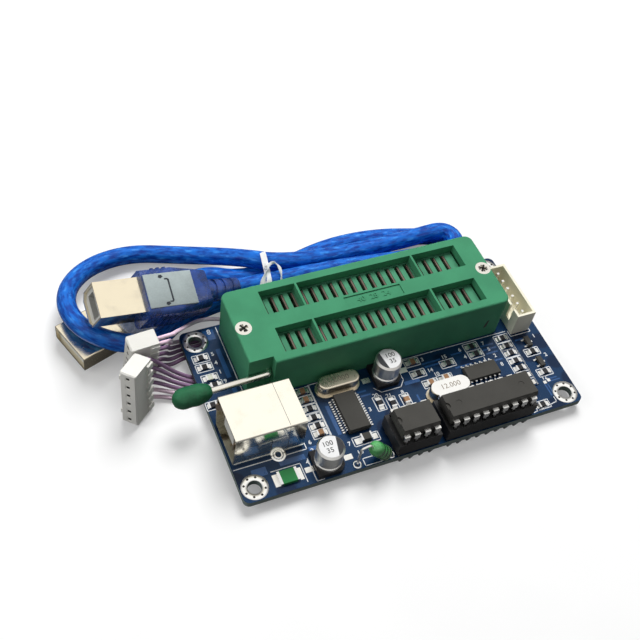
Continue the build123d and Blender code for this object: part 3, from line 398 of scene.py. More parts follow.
@dataclass(frozen=True)
class ClearSkin:
    """Clear tinted plastic over a twisted braid, for the round cable, with painted highlight streaks and
    painted glints along it.
    """

    name: str = "cable_skin"
    # deep is the blue between the streaks; the lighter blue is a painted highlight and the palest blue a
    # painted glint.
    deep: Colour = (0.001, 0.032, 0.27)
    painted_highlight: Colour = (0.010, 0.190, 0.74)
    painted_glint: Colour = (0.10, 0.42, 0.92)

    def material(self) -> bpy.types.Material:
        """Build the finish on the UV map, whose first axis is millimetres along the cable.

        Returns:
            The material.
        """
        graph = Graph(self.name)
        along, round_, _ = graph.axes("UV")
        wobble = graph.noise(0.8, 2.0, (1.0, 6.0, 1.0), "UV")
        one = (along * 0.9 + round_ * (math.tau * 6) + wobble * 5.0).wave()
        other = (along * 0.9 - round_ * (math.tau * 6) + wobble * 4.0).wave()
        braid = (one * 0.5 + other * 0.5).ramp(-0.5, 0.9)
        streak = graph.noise(1.0, 3.0, (0.30, 16.0, 1.0), "UV")
        # lane picks lighter streaks along the cable: painted highlight streaks, mixed towards the painted
        # highlight blue.
        lane = streak.ramp(0.30, 0.64)
        base = graph.mix(lane * 0.72 + braid * 0.14, self.deep, self.painted_highlight)
        # Painted glints where the painted highlight streaks cross the braid.
        painted_glint_share = (streak * braid).ramp(0.42, 0.66, 0.0, 0.40)
        return graph.surface(
            Base_Color=graph.mix(painted_glint_share, base, self.painted_glint), Roughness=streak.ramp(0.3, 0.7, 0.22, 0.34),
            Coat_Weight=0.14, Coat_Roughness=0.12, Specular_IOR_Level=0.2,
            Normal=graph.bump(braid * 0.3 + streak * 0.7, 0.04 * MM))


@dataclass(frozen=True)
class TintedMould:
    """See-through tinted plastic of a plug's overmould."""

    name: str
    colour: Colour
    clear: float = 0.45
    roughness: float = 0.16

    def material(self) -> bpy.types.Material:
        """Build the finish; its alpha and its depth of tint change slowly from place to place.

        Returns:
            The material.
        """
        graph = Graph(self.name)
        slow = graph.noise(260.0, 3.0)
        streak = graph.noise(900.0, 2.0, (0.35, 1.0, 1.0))
        dark = tuple(part * 0.35 for part in self.colour)
        return graph.surface(
            Base_Color=graph.mix(slow.ramp(0.35, 0.66), self.colour, dark),
            Roughness=streak.ramp(0.3, 0.7, self.roughness, self.roughness + 0.14),
            Alpha=slow.ramp(0.3, 0.7, 1.0 - self.clear, 1.0 - self.clear * 0.55),
            Coat_Weight=0.4, Coat_Roughness=0.08, Specular_IOR_Level=0.35,
            Normal=graph.bump(streak, 0.04 * MM))


@dataclass(frozen=True)
class DippedGreen:
    """Dipped lacquer of the choke, with dark rings round its body."""

    name: str = "choke_lacquer"
    start: Point = (-9.5, -22.25, 2.75)
    end: Point = (-13.6, -22.25, 7.8)
    colour: Colour = (0.045, 0.30, 0.075)

    def material(self) -> bpy.types.Material:
        """Build the finish; the rings lie square to the body's own axis.

        Returns:
            The material.
        """
        graph = Graph(self.name)
        x, y, z = graph.axes()
        line = Vector(self.end) - Vector(self.start)
        length, line = line.length * MM, line.normalized()
        along = (x - self.start[0] * MM) * line.x + (y - self.start[1] * MM) * line.y
        along = (along + (z - self.start[2] * MM) * line.z) / length
        rings: Value | None = None
        for centre, half in ((0.18, 0.035), (0.40, 0.035), (0.60, 0.03)):
            ring = abs(along - centre).ramp(half, half + 0.03, 1.0, 0.0)
            rings = ring if rings is None else rings.most(ring)
        slow = graph.noise(700.0, 2.0)
        pale = graph.mix(slow.ramp(0.3, 0.7), self.colour, (0.10, 0.42, 0.13))
        faded = graph.mix(along.ramp(0.45, 0.05), pale, (0.20, 0.33, 0.17))
        return graph.surface(
            Base_Color=graph.mix(rings * 0.9, faded, (0.012, 0.05, 0.018)),
            Roughness=slow.ramp(0.3, 0.7, 0.2, 0.32), Coat_Weight=0.7, Coat_Roughness=0.08,
            Normal=graph.bump(slow, 0.03 * MM))


class Shelf:
    """Keeps each finish once, by name."""

    def __init__(self) -> None:
        """Start with nothing made."""
        self._made: dict[str, bpy.types.Material] = {}

    def get(self, finish: object) -> bpy.types.Material:
        """Return the material of a finish, making it the first time.

        Args:
            finish: A finish with a name and a material method.

        Returns:
            The material.
        """
        name = getattr(finish, "name")
        if name not in self._made:
            self._made[name] = finish.material()
        return self._made[name]


SHELF = Shelf()

SOCKET_GREEN = Moulding("socket_green", (0.062, 0.262, 0.140), 0.55, 7000.0, 0.014, 0.08, 0.0, 0.12)
SLIDER_GREEN = Moulding("slider_green", (0.078, 0.275, 0.160), 0.5, 7000.0, 0.012, 0.10, 0.0, 0.12)
KNOB_GREEN = Moulding("knob_green", (0.014, 0.108, 0.046), 0.42, 1800.0, 0.10, 0.22, 0.12)
EPOXY = Moulding("chip_epoxy", (0.062, 0.060, 0.055), 0.6, 9000.0, 0.02, 0.12, 0.0, 0.2)
SOCKET_BLACK = Moulding("socket_black", (0.030, 0.030, 0.031), 0.45, 6000.0, 0.01, 0.2)
BASE_BLACK = Moulding("base_black", (0.010, 0.010, 0.012), 0.45, 6000.0, 0.01, 0.2)
INSULATOR = Moulding("insulator_white", (0.66, 0.66, 0.62), 0.5, 4000.0, 0.01, 0.05)
HEADER_CREAM = Moulding("header_cream", (0.90, 0.86, 0.70), 0.42, 5000.0, 0.012, 0.06)
PLUG_WHITE = Moulding("plug_white", (0.82, 0.81, 0.76), 0.42, 5000.0, 0.012, 0.04)
TIE_WHITE = Moulding("tie_white", (0.80, 0.80, 0.80), 0.55, 3000.0, 0.03, 0.06)
FUSE_GREEN = Moulding("fuse_green", (0.022, 0.19, 0.055), 0.42, 6000.0, 0.01, 0.15)
RESISTOR_BLACK = Moulding("resistor_black", (0.018, 0.018, 0.022), 0.30, 6000.0, 0.01, 0.2)
CERAMIC_TAN = Moulding("ceramic_tan", (0.33, 0.185, 0.10), 0.5, 6000.0, 0.02, 0.2)
LAMP_LENS = Moulding("lamp_lens", (0.70, 0.72, 0.60), 0.22, 2000.0, 0.01, 0.08, 0.5)
INNER_WHITE = Moulding("inner_block", (0.40, 0.46, 0.46), 0.5, 2500.0, 0.02, 0.12)
MARK_DARK = Moulding("inner_marks", (0.035, 0.04, 0.05), 0.5, 4000.0, 0.01, 0.2)
SILK_WHITE = Moulding("silk_white", (0.78, 0.80, 0.82), 0.6, 8000.0, 0.004, 0.08)
PRINT_BLACK = Moulding("print_black", (0.012, 0.012, 0.013), 0.5, 8000.0, 0.004, 0.2)
LANE_BLUE = Moulding("lane_blue", (0.018, 0.085, 0.25), 0.26, 3000.0, 0.006, 0.14, 0.3)
# Near-black plates: painted shade in slots, slits, cuts and vias, and dark seam lines.
PAINTED_SLOT_SHADE_AND_SEAMS = Moulding("painted_slot_shade_and_seams", (0.02, 0.018, 0.015), 0.6, 6000.0, 0.01, 0.2)
WIRE_MAUVE = Moulding("wire_mauve", (0.30, 0.18, 0.31), 0.35, 2500.0, 0.02, 0.14, 0.2)
WIRE_PALE = Moulding("wire_pale", (0.92, 0.68, 0.82), 0.35, 2500.0, 0.02, 0.10, 0.2)

NICKEL = Plating("nickel_warm", (0.84, 0.76, 0.59), 0.18, (0.15, 1.0, 1.0), 0.0008)
INLET_NICKEL = Plating(
    "inlet_nickel", (0.96, 0.93, 0.83), 0.12, (0.15, 1.0, 1.0), 0.0008, (0.86, 0.80, 0.66), 0.4)
CAN_NICKEL = Plating("can_nickel", (0.66, 0.60, 0.49), 0.30, (1.0, 0.2, 1.0), 0.0012)
TIN = Plating("tinned", (0.84, 0.84, 0.83), 0.30, (1.0, 1.0, 0.3), 0.002)
SOLDER = Plating("solder", (0.74, 0.75, 0.77), 0.20, (1.0, 1.0, 1.0), 0.012)
STEEL = Plating("bright_steel", (0.80, 0.78, 0.73), 0.22, (0.12, 1.0, 1.0), 0.0012)
GILT = Plating("gilt", (0.80, 0.58, 0.26), 0.24, (1.0, 0.3, 1.0))
BRONZE = Plating("contact_bronze", (0.42, 0.34, 0.28), 0.30, (1.0, 0.3, 1.0))
ALUMINIUM = Plating("can_aluminium", (0.74, 0.74, 0.73), 0.40, (1.0, 1.0, 0.12), 0.002)
PAD_TIN = Plating("pad_tin", (0.95, 0.95, 0.94), 0.36, (1.0, 1.0, 1.0), 0.001, (0.8, 0.78, 0.72), 0.12)
LAND_TIN = Plating("land_tin", (0.86, 0.86, 0.84), 0.32, (1.0, 1.0, 1.0), 0.004)
SLEEVE_WHITE = Moulding("can_top_white", (0.78, 0.78, 0.78), 0.35, 6000.0, 0.004, 0.04, 0.2)
SLEEVE_DARK = Moulding("can_top_dark", (0.035, 0.037, 0.042), 0.4, 6000.0, 0.004, 0.1)
CAN_PRINT = Moulding("can_print", (0.26, 0.22, 0.17), 0.5, 8000.0, 0.004, 0.2)
GRIP_BLUE = Moulding("grip_ridges", (0.010, 0.035, 0.16), 0.3, 3000.0, 0.02, 0.2, 0.4)
TIP_BRONZE = Moulding("tip_bronze", (0.155, 0.115, 0.095), 0.5, 5000.0, 0.03, 0.35)
GRIP_DEEP = TintedMould("grip_deep", (0.030, 0.095, 0.42), 0.30)
GRIP_PALE = TintedMould("grip_pale", (0.16, 0.30, 0.62), 0.55)


# ---- Meshes ----------------------------------------------------------------------------------
def ridden(piece: bpy.types.Object, body: Body, slot: str, *nodes: str) -> bpy.types.Object:
    """Fix a finished piece to a body and hide the nodes that it stands for.

    Args:
        piece: The finished piece, in place.
        body: What it moves with.
        slot: The name of a material slot; not used.
        nodes: The nodes that it replaces.

    Returns:
        The same piece.
    """
    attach(piece, body.value)
    if nodes:
        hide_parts(*nodes)
    LOG.info("%s: %d faces, on %s", piece.name, len(piece.data.polygons), body.value)
    return piece


def linked(name: str, data: bpy.types.ID) -> bpy.types.Object:
    """Put data into the scene as an object.

    Args:
        name: The object's name.
        data: The mesh, curve, lamp or camera that it holds.

    Returns:
        The object.
    """
    made = bpy.data.objects.new(name, data)
    bpy.context.scene.collection.objects.link(made)
    return made


def plain_mesh(source: bpy.types.Object) -> bpy.types.Mesh:
    """The evaluated mesh of an object, which is then removed.

    Args:
        source: A curve, a text or a mesh with modifiers.

    Returns:
        A mesh with nothing live on it.
    """
    bpy.context.view_layer.update()
    evaluated = source.evaluated_get(bpy.context.evaluated_depsgraph_get())
    mesh = bpy.data.meshes.new_from_object(evaluated)
    bpy.data.objects.remove(source)
    return mesh


def tidy_normals(mesh: bpy.types.Mesh, sharp_angle: float = 35.0) -> None:
    """Merge doubles, turn faces outwards and keep only the sharp edges sharp.

    Args:
        mesh: The mesh to change.
        sharp_angle: Degrees between two faces from which their edge is sharp.
    """
    work = bmesh.new()
    work.from_mesh(mesh)
    bmesh.ops.remove_doubles(work, verts=work.verts, dist=0.0005 * MM)
    bmesh.ops.recalc_face_normals(work, faces=work.faces)
    limit = math.radians(sharp_angle)
    for face in work.faces:
        face.smooth = True
    for edge in work.edges:
        edge.smooth = len(edge.link_faces) == 2 and edge.calc_face_angle(0.0) < limit
    work.to_mesh(mesh)
    work.free()


def frame_matrix(origin: Point, x_axis: Point, z_axis: Point) -> Matrix:
    """A frame whose Z follows z_axis and whose X is x_axis squared up to it.

    Args:
        origin: Its origin in millimetres.
        x_axis: Its rough X.
        z_axis: Its Z.

    Returns:
        The matrix from the frame to the row's frame.
    """
    up = Vector(z_axis).normalized()
    ahead = Vector(x_axis)
    ahead = (ahead - up * ahead.dot(up)).normalized()
    side = up.cross(ahead)
    turn = Matrix((ahead, side, up)).transposed().to_4x4()
    return Matrix.Translation(origin) @ turn


class Shape:
    """Points and faces of one piece while it is made, in millimetres."""

    def __init__(self, name: str) -> None:
        """Start with nothing.

        Args:
            name: The piece's name.
        """
        self.name = name
        self.points: list[Point] = []
        self.faces: list[tuple[int, ...]] = []

    def add(self, points: Iterable[Point], faces: Iterable[Sequence[int]],
            place: Matrix | None = None) -> None:
        """Add points and the faces between them.

        Args:
            points: The new points.
            faces: Faces counted from the first new point.
            place: A matrix that puts them in place.
        """
        start = len(self.points)
        for point in points:
            moved = place @ Vector(point) if place is not None else Vector(point)
            self.points.append((moved.x, moved.y, moved.z))
        self.faces += [tuple(start + index for index in face) for face in faces]

    def prism(self, outline: Sequence[Flat], low: float, high: float, draw: float = 0.0,
              place: Matrix | None = None) -> None:
        """Add an outline given a thickness, its top drawn in towards its middle.

        Args:
            outline: Corners in order.
            low: Lower level.
            high: Upper level.
            draw: How far the top is drawn in.
            place: A matrix that puts it in place.
        """
        count = len(outline)
        mid_x = sum(x for x, _ in outline) / count
        mid_y = sum(y for _, y in outline) / count
        upper = []
        for x, y in outline:
            away = math.hypot(x - mid_x, y - mid_y) or 1.0
            share = 1.0 - draw / away
            upper.append((mid_x + (x - mid_x) * share, mid_y + (y - mid_y) * share, high))
        points = [(x, y, low) for x, y in outline] + upper
        sides = [(i, (i + 1) % count, count + (i + 1) % count, count + i) for i in range(count)]
        self.add(points, [*sides, tuple(range(count))[::-1], tuple(range(count, 2 * count))], place)

    def block(self, low: Point, high: Point, draw: float = 0.0, place: Matrix | None = None) -> None:
        """Add a box whose top may be drawn in."""
        outline = [(low[0], low[1]), (high[0], low[1]), (high[0], high[1]), (low[0], high[1])]
        self.prism(outline, low[2], high[2], draw, place)

    def revolve(self, profile: Sequence[Flat], sides: int = 32, place: Matrix | None = None) -> None:
        """Add a turned shape about Z.

        Args:
            profile: Radius and height of each ring, with a radius of nought at a pole.
            sides: Faces round it.
            place: A matrix that puts it in place.
        """
        points: list[Point] = []
        for radius, height in profile:
            for i in range(sides):
                angle = math.tau * i / sides
                points.append((radius * math.cos(angle), radius * math.sin(angle), height))
        faces = []
        for row in range(len(profile) - 1):
            for i in range(sides):
                j = (i + 1) % sides
                faces.append((row * sides + i, row * sides + j, (row + 1) * sides + j, (row + 1) * sides + i))
        self.add(points, faces, place)

    def band(self, path: Sequence[Vector], sides: Sequence[Vector], section: Sequence[Flat],
             closed: bool = False) -> None:
        """Add a section carried along a path.

        Args:
            path: Points of its line.
            sides: The direction of the section's first axis at each point.
            section: Corners of the section; its second axis is square to the line.
            closed: Whether the line returns to its start.
        """
        count, size = len(path), len(section)
        points: list[Point] = []
        for i, (point, side) in enumerate(zip(path, sides)):
            after = path[(i + 1) % count] if closed or i + 1 < count else point
            before = path[i - 1] if closed or i else point
            ahead = (after - before).normalized()
            across = (side - ahead * side.dot(ahead)).normalized()
            up = ahead.cross(across)
            points += [tuple(point + across * a + up * b) for a, b in section]
        faces = []
        for i in range(count if closed else count - 1):
            j = (i + 1) % count
            for k in range(size):
                m = (k + 1) % size
                faces.append((i * size + k, i * size + m, j * size + m, j * size + k))
        if not closed:
            faces += [tuple(range(size)), tuple(range((count - 1) * size, count * size))]
        self.add(points, faces)

    def build(self, finish: object, sharp_angle: float = 35.0) -> bpy.types.Object:
        """Make the object.

        Args:
            finish: Its finish.
            sharp_angle: Edges turning by more than this stay sharp.

        Returns:
            The object, at the origin, in metres.
        """
        mesh = bpy.data.meshes.new(self.name)
        mesh.from_pydata([tuple(part * MM for part in point) for point in self.points], [], self.faces)
        tidy_normals(mesh, sharp_angle)
        mesh.materials.append(SHELF.get(finish))
        return linked(self.name, mesh)


# ---- Geometry Nodes --------------------------------------------------------------------------
class Pattern:
    """A Geometry Nodes tree that repeats a small shape over points."""

    def __init__(self, name: str, sizes: dict[str, float]) -> None:
        """Start a tree.

        Args:
            name: The tree's name.
            sizes: Its named inputs and what they are unless set otherwise.
        """
        self.tree = bpy.data.node_groups.new(name, "GeometryNodeTree")
        interface = self.tree.interface
        interface.new_socket(name="Places", in_out="INPUT", socket_type="NodeSocketGeometry")
        interface.new_socket(name="Geometry", in_out="OUTPUT", socket_type="NodeSocketGeometry")
        self.identifiers: dict[str, str] = {}
        for label, value in sizes.items():
            kind = "NodeSocketInt" if isinstance(value, int) else "NodeSocketFloat"
            socket = interface.new_socket(name=label, in_out="INPUT", socket_type=kind)
            socket.default_value = value
            self.identifiers[label] = socket.identifier
        self.entry = self.tree.nodes.new("NodeGroupInput")

    def size(self, label: str) -> bpy.types.NodeSocket:
        """One named input."""
        return self.entry.outputs[label]

    def add(self, kind: str, settings: dict[str, object] | None = None,
            **named: object) -> bpy.types.Node:
        """Add a node.

        Args:
            kind: Its type.
            settings: Its properties.
            named: Its inputs by name, with underscores for spaces.

        Returns:
            The node.
        """
        node = self.tree.nodes.new(kind)
        for key, value in (settings or {}).items():
            setattr(node, key, value)
        for key, value in named.items():
            socket = node.inputs[key.replace("_", " ")]
            if isinstance(value, bpy.types.NodeSocket):
                self.tree.links.new(value, socket)
            else:
                socket.default_value = value
        return node

    def scaled(self, value: bpy.types.NodeSocket, factor: float) -> bpy.types.NodeSocket:
        """A number times a factor.

        Args:
            value: The number's socket.
            factor: What it is multiplied by.

        Returns:
            The product's socket.
        """
        node = self.tree.nodes.new("ShaderNodeMath")
        node.operation = "MULTIPLY"
        self.tree.links.new(value, node.inputs[0])
        node.inputs[1].default_value = factor
        return node.outputs[0]

    def attribute(self, name: str, kind: str = "FLOAT_VECTOR") -> bpy.types.NodeSocket:
        """A named attribute of the points."""
        return self.add("GeometryNodeInputNamedAttribute", {"data_type": kind}, Name=name).outputs[0]

    def raised(self, shape: bpy.types.NodeSocket, height: bpy.types.NodeSocket) -> bpy.types.NodeSocket:
        """Lift a shape by a height."""
        lift = self.add("ShaderNodeCombineXYZ", None, Z=height).outputs[0]
        return self.add("GeometryNodeTransform", None, Geometry=shape, Translation=lift).outputs[0]

    def over_points(self, shape: bpy.types.NodeSocket, turned: bool = False,
                    scaled: bool = False) -> bpy.types.NodeSocket:
        """Put the shape on every point.

        Args:
            shape: What is repeated.
            turned: Whether the points' turn attribute turns it.
            scaled: Whether the points' reach attribute scales it.

        Returns:
            The instances.
        """
        inputs: dict[str, object] = {"Points": self.entry.outputs["Places"], "Instance": shape}
        if turned:
            inputs["Rotation"] = self.attribute("turn")
        if scaled:
            inputs["Scale"] = self.attribute("reach")
        return self.add("GeometryNodeInstanceOnPoints", None, **inputs).outputs[0]

    def end(self, shape: bpy.types.NodeSocket) -> None:
        """Finish with real faces and a material.

        Args:
            shape: The geometry's socket.
        """
        real = self.add("GeometryNodeRealizeInstances", None, Geometry=shape).outputs[0]
        self.painter = self.add("GeometryNodeSetMaterial", None, Geometry=real)
        leave = self.tree.nodes.new("NodeGroupOutput")
        self.tree.links.new(self.painter.outputs[0], leave.inputs[0])

    def make(self, name: str, finish: object, places: Sequence[Point],
             reach: Sequence[Point] | None = None, turn: Sequence[Point] | None = None,
             **sizes: float) -> bpy.types.Object:
        """Run the tree over points and keep the result as a plain mesh.

        Args:
            name: The piece's name.
            finish: Its finish.
            places: The points, in millimetres.
            reach: A scale for each point, in millimetres.
            turn: Angles about the axes for each point, in degrees.
            sizes: The named inputs, in metres or as counts.

        Returns:
            The piece.
        """
        mesh = bpy.data.meshes.new(name + "_places")
        mesh.from_pydata([tuple(part * MM for part in place) for place in places], [], [])
        for label, rows, unit in (("reach", reach, MM), ("turn", turn, math.radians(1.0))):
            layer = mesh.attributes.new(label, "FLOAT_VECTOR", "POINT")
            rows = rows or [(0.0, 0.0, 0.0)] * len(places)
            layer.data.foreach_set("vector", [part * unit for row in rows for part in row])
        carrier = linked(name + "_carrier", mesh)
        modifier = carrier.modifiers.new("pattern", "NODES")
        self.painter.inputs["Material"].default_value = SHELF.get(finish)
        modifier.node_group = self.tree
        for label, value in sizes.items():
            modifier[self.identifiers[label]] = value
        result = plain_mesh(carrier)
        result.name = name
        for label in ("reach", "turn"):
            if label in result.attributes:
                result.attributes.remove(result.attributes[label])
        return linked(name, result)


class Patterns:
    """The trees that this object's repeated pieces share."""

    def __init__(self) -> None:
        """Build every tree."""
        self.plates = self._plates()
        self.washers = self._washers()
        self.discs_round = self._discs_round()

    @staticmethod
    def _plates() -> Pattern:
        """A small plate on every point, as large as the point says.

        Returns:
            The pattern.
        """
        pattern = Pattern("plates", {"Side": 1.0})
        side = pattern.size("Side")
        size = pattern.add("ShaderNodeCombineXYZ", None, X=side, Y=side, Z=side).outputs[0]
        cube = pattern.add("GeometryNodeMeshCube", None, Size=size).outputs[0]
        pattern.end(pattern.over_points(cube, True, True))
        return pattern

    @staticmethod
    def _washers() -> Pattern:
        """A flat ring on every point.

        Returns:
            The pattern.
        """
        pattern = Pattern("washers", {"Inner": 1.0 * MM, "Outer": 2.0 * MM, "Rise": 0.04 * MM, "Sides": 48})
        inner, outer = pattern.size("Inner"), pattern.size("Outer")
        total = pattern.add("ShaderNodeMath", {"operation": "ADD"})
        pattern.tree.links.new(inner, total.inputs[0])
        pattern.tree.links.new(outer, total.inputs[1])
        gap = pattern.add("ShaderNodeMath", {"operation": "SUBTRACT"})
        pattern.tree.links.new(outer, gap.inputs[0])
        pattern.tree.links.new(inner, gap.inputs[1])
        circle = pattern.add("GeometryNodeCurvePrimitiveCircle", None, Resolution=pattern.size("Sides"),
                             Radius=pattern.scaled(total.outputs[0], 0.5)).outputs[0]
        section = pattern.add("GeometryNodeCurvePrimitiveQuadrilateral", None,
                              Width=gap.outputs[0], Height=pattern.size("Rise")).outputs[0]
        ring = pattern.add("GeometryNodeCurveToMesh", None, Curve=circle, Profile_Curve=section).outputs[0]
        lifted = pattern.raised(ring, pattern.scaled(pattern.size("Rise"), 0.5))
        pattern.end(pattern.over_points(lifted, True))
        return pattern

    @staticmethod
    def _discs_round() -> Pattern:
        """A circle of small discs round every point.

        Returns:
            The pattern.
        """
        pattern = Pattern("discs_round", {
            "Circle": 2.4 * MM, "Radius": 0.2 * MM, "Height": 0.02 * MM, "Count": 8, "Sides": 12})
        circle = pattern.add("GeometryNodeMeshCircle", None, Vertices=pattern.size("Count"),
                             Radius=pattern.size("Circle")).outputs[0]
        disc = pattern.add("GeometryNodeMeshCylinder", None, Vertices=pattern.size("Sides"),
                           Radius=pattern.size("Radius"), Depth=pattern.size("Height")).outputs[0]
        ring = pattern.add("GeometryNodeInstanceOnPoints", None, Points=circle, Instance=disc).outputs[0]
        pattern.end(pattern.over_points(ring, True))
        return pattern


# ---- Numbers ---------------------------------------------------------------------------------
@dataclass(frozen=True)
class Numeral:
    """A plain number printed or raised on a face."""

    text: str
    size: float
    centre: Point
    turn: float = 0.0
    thick: float = 0.02


def numerals(name: str, rows: Iterable[Numeral], finish: object, offset: float = 0.0) -> bpy.types.Object:
    """Make one piece of several numbers.

    Args:
        name: The piece's name.
        rows: What is written and where.
        finish: Its finish.
        offset: How much the strokes are thickened, in millimetres.

    Returns:
        The piece.
    """
    shape = Shape(name)
    for row in rows:
        text = bpy.data.curves.new(name + "_text", "FONT")
        text.body, text.size, text.resolution_u = row.text, row.size, 3
        text.align_x, text.align_y = "CENTER", "CENTER"
        text.extrude, text.offset = row.thick / 2, offset
        mesh = plain_mesh(linked(name + "_text", text))
        place = Matrix.Translation(row.centre) @ Matrix.Rotation(math.radians(row.turn), 4, "Z")
        shape.add([tuple(vertex.co) for vertex in mesh.vertices],
                  [tuple(face.vertices) for face in mesh.polygons], place)
        bpy.data.meshes.remove(mesh)
    return shape.build(finish)


# ---- Cords -----------------------------------------------------------------------------------
@dataclass
class Cord:
    """A round cord along a smooth line whose control points are the route's."""

    name: str
    route: Sequence[Point]
    radius: float
    finish: object
    sides: int = 20
    steps: int = 12
    line: list[Vector] = field(default_factory=list)

    def smooth_line(self) -> list[Vector]:
        """Points of the NURBS line, in metres.

        Returns:
            The points, which the cord keeps as its line.
        """
        curve = bpy.data.curves.new(self.name + "_line", "CURVE")
        curve.dimensions, curve.resolution_u = "3D", self.steps
        spline = curve.splines.new("NURBS")
        spline.points.add(len(self.route) - 1)
        for point, place in zip(spline.points, self.route):
            point.co = (*(part * MM for part in place), 1.0)
        spline.order_u = 3
        spline.use_endpoint_u = True
        mesh = plain_mesh(linked(self.name + "_line", curve))
        self.line = [vertex.co.copy() for vertex in mesh.vertices]
        bpy.data.meshes.remove(mesh)
        return self.line

    def frames(self) -> list[tuple[Vector, Vector, Vector]]:
        """Each point with two directions across the line, carried without twist.

        Returns:
            One row for each point: the point and its two directions.
        """
        line = self.line or self.smooth_line()
        rows = []
        across: Vector | None = None
        for i, point in enumerate(line):
            ahead = (line[min(i + 1, len(line) - 1)] - line[max(i - 1, 0)]).normalized()
            if across is None:
                across = ahead.orthogonal().normalized()
            across = (across - ahead * across.dot(ahead)).normalized()
            rows.append((point, across, ahead.cross(across)))
        return rows

    def tube(self) -> bpy.types.Object:
        """Make the tube, whose UV map runs in millimetres along it and from 0 to 1 round it.

        Returns:
            The tube, closed at both ends.
        """
        rows = self.frames()
        work = bmesh.new()
        layer = work.loops.layers.uv.new("UVMap")
        rings, travelled, marks = [], 0.0, []
        for i, (point, across, up) in enumerate(rows):
            travelled += (point - rows[i - 1][0]).length / MM if i else 0.0
            marks.append(travelled)
            ring = []
            for k in range(self.sides):
                angle = math.tau * k / self.sides
                offset = (across * math.cos(angle) + up * math.sin(angle)) * (self.radius * MM)
                ring.append(work.verts.new(point + offset))
            rings.append(ring)
        for i in range(len(rings) - 1):
            for k in range(self.sides):
                m = (k + 1) % self.sides
                face = work.faces.new((rings[i][k], rings[i][m], rings[i + 1][m], rings[i + 1][k]))
                face.smooth = True
                corners = ((i, k), (i, k + 1), (i + 1, k + 1), (i + 1, k))
                for loop, (along, round_) in zip(face.loops, corners):
                    loop[layer].uv = (marks[along], round_ / self.sides)
        work.faces.new(rings[0][::-1])
        work.faces.new(rings[-1])
        bmesh.ops.recalc_face_normals(work, faces=work.faces)
        mesh = bpy.data.meshes.new(self.name)
        work.to_mesh(mesh)
        work.free()
        mesh.materials.append(SHELF.get(self.finish))
        return linked(self.name, mesh)


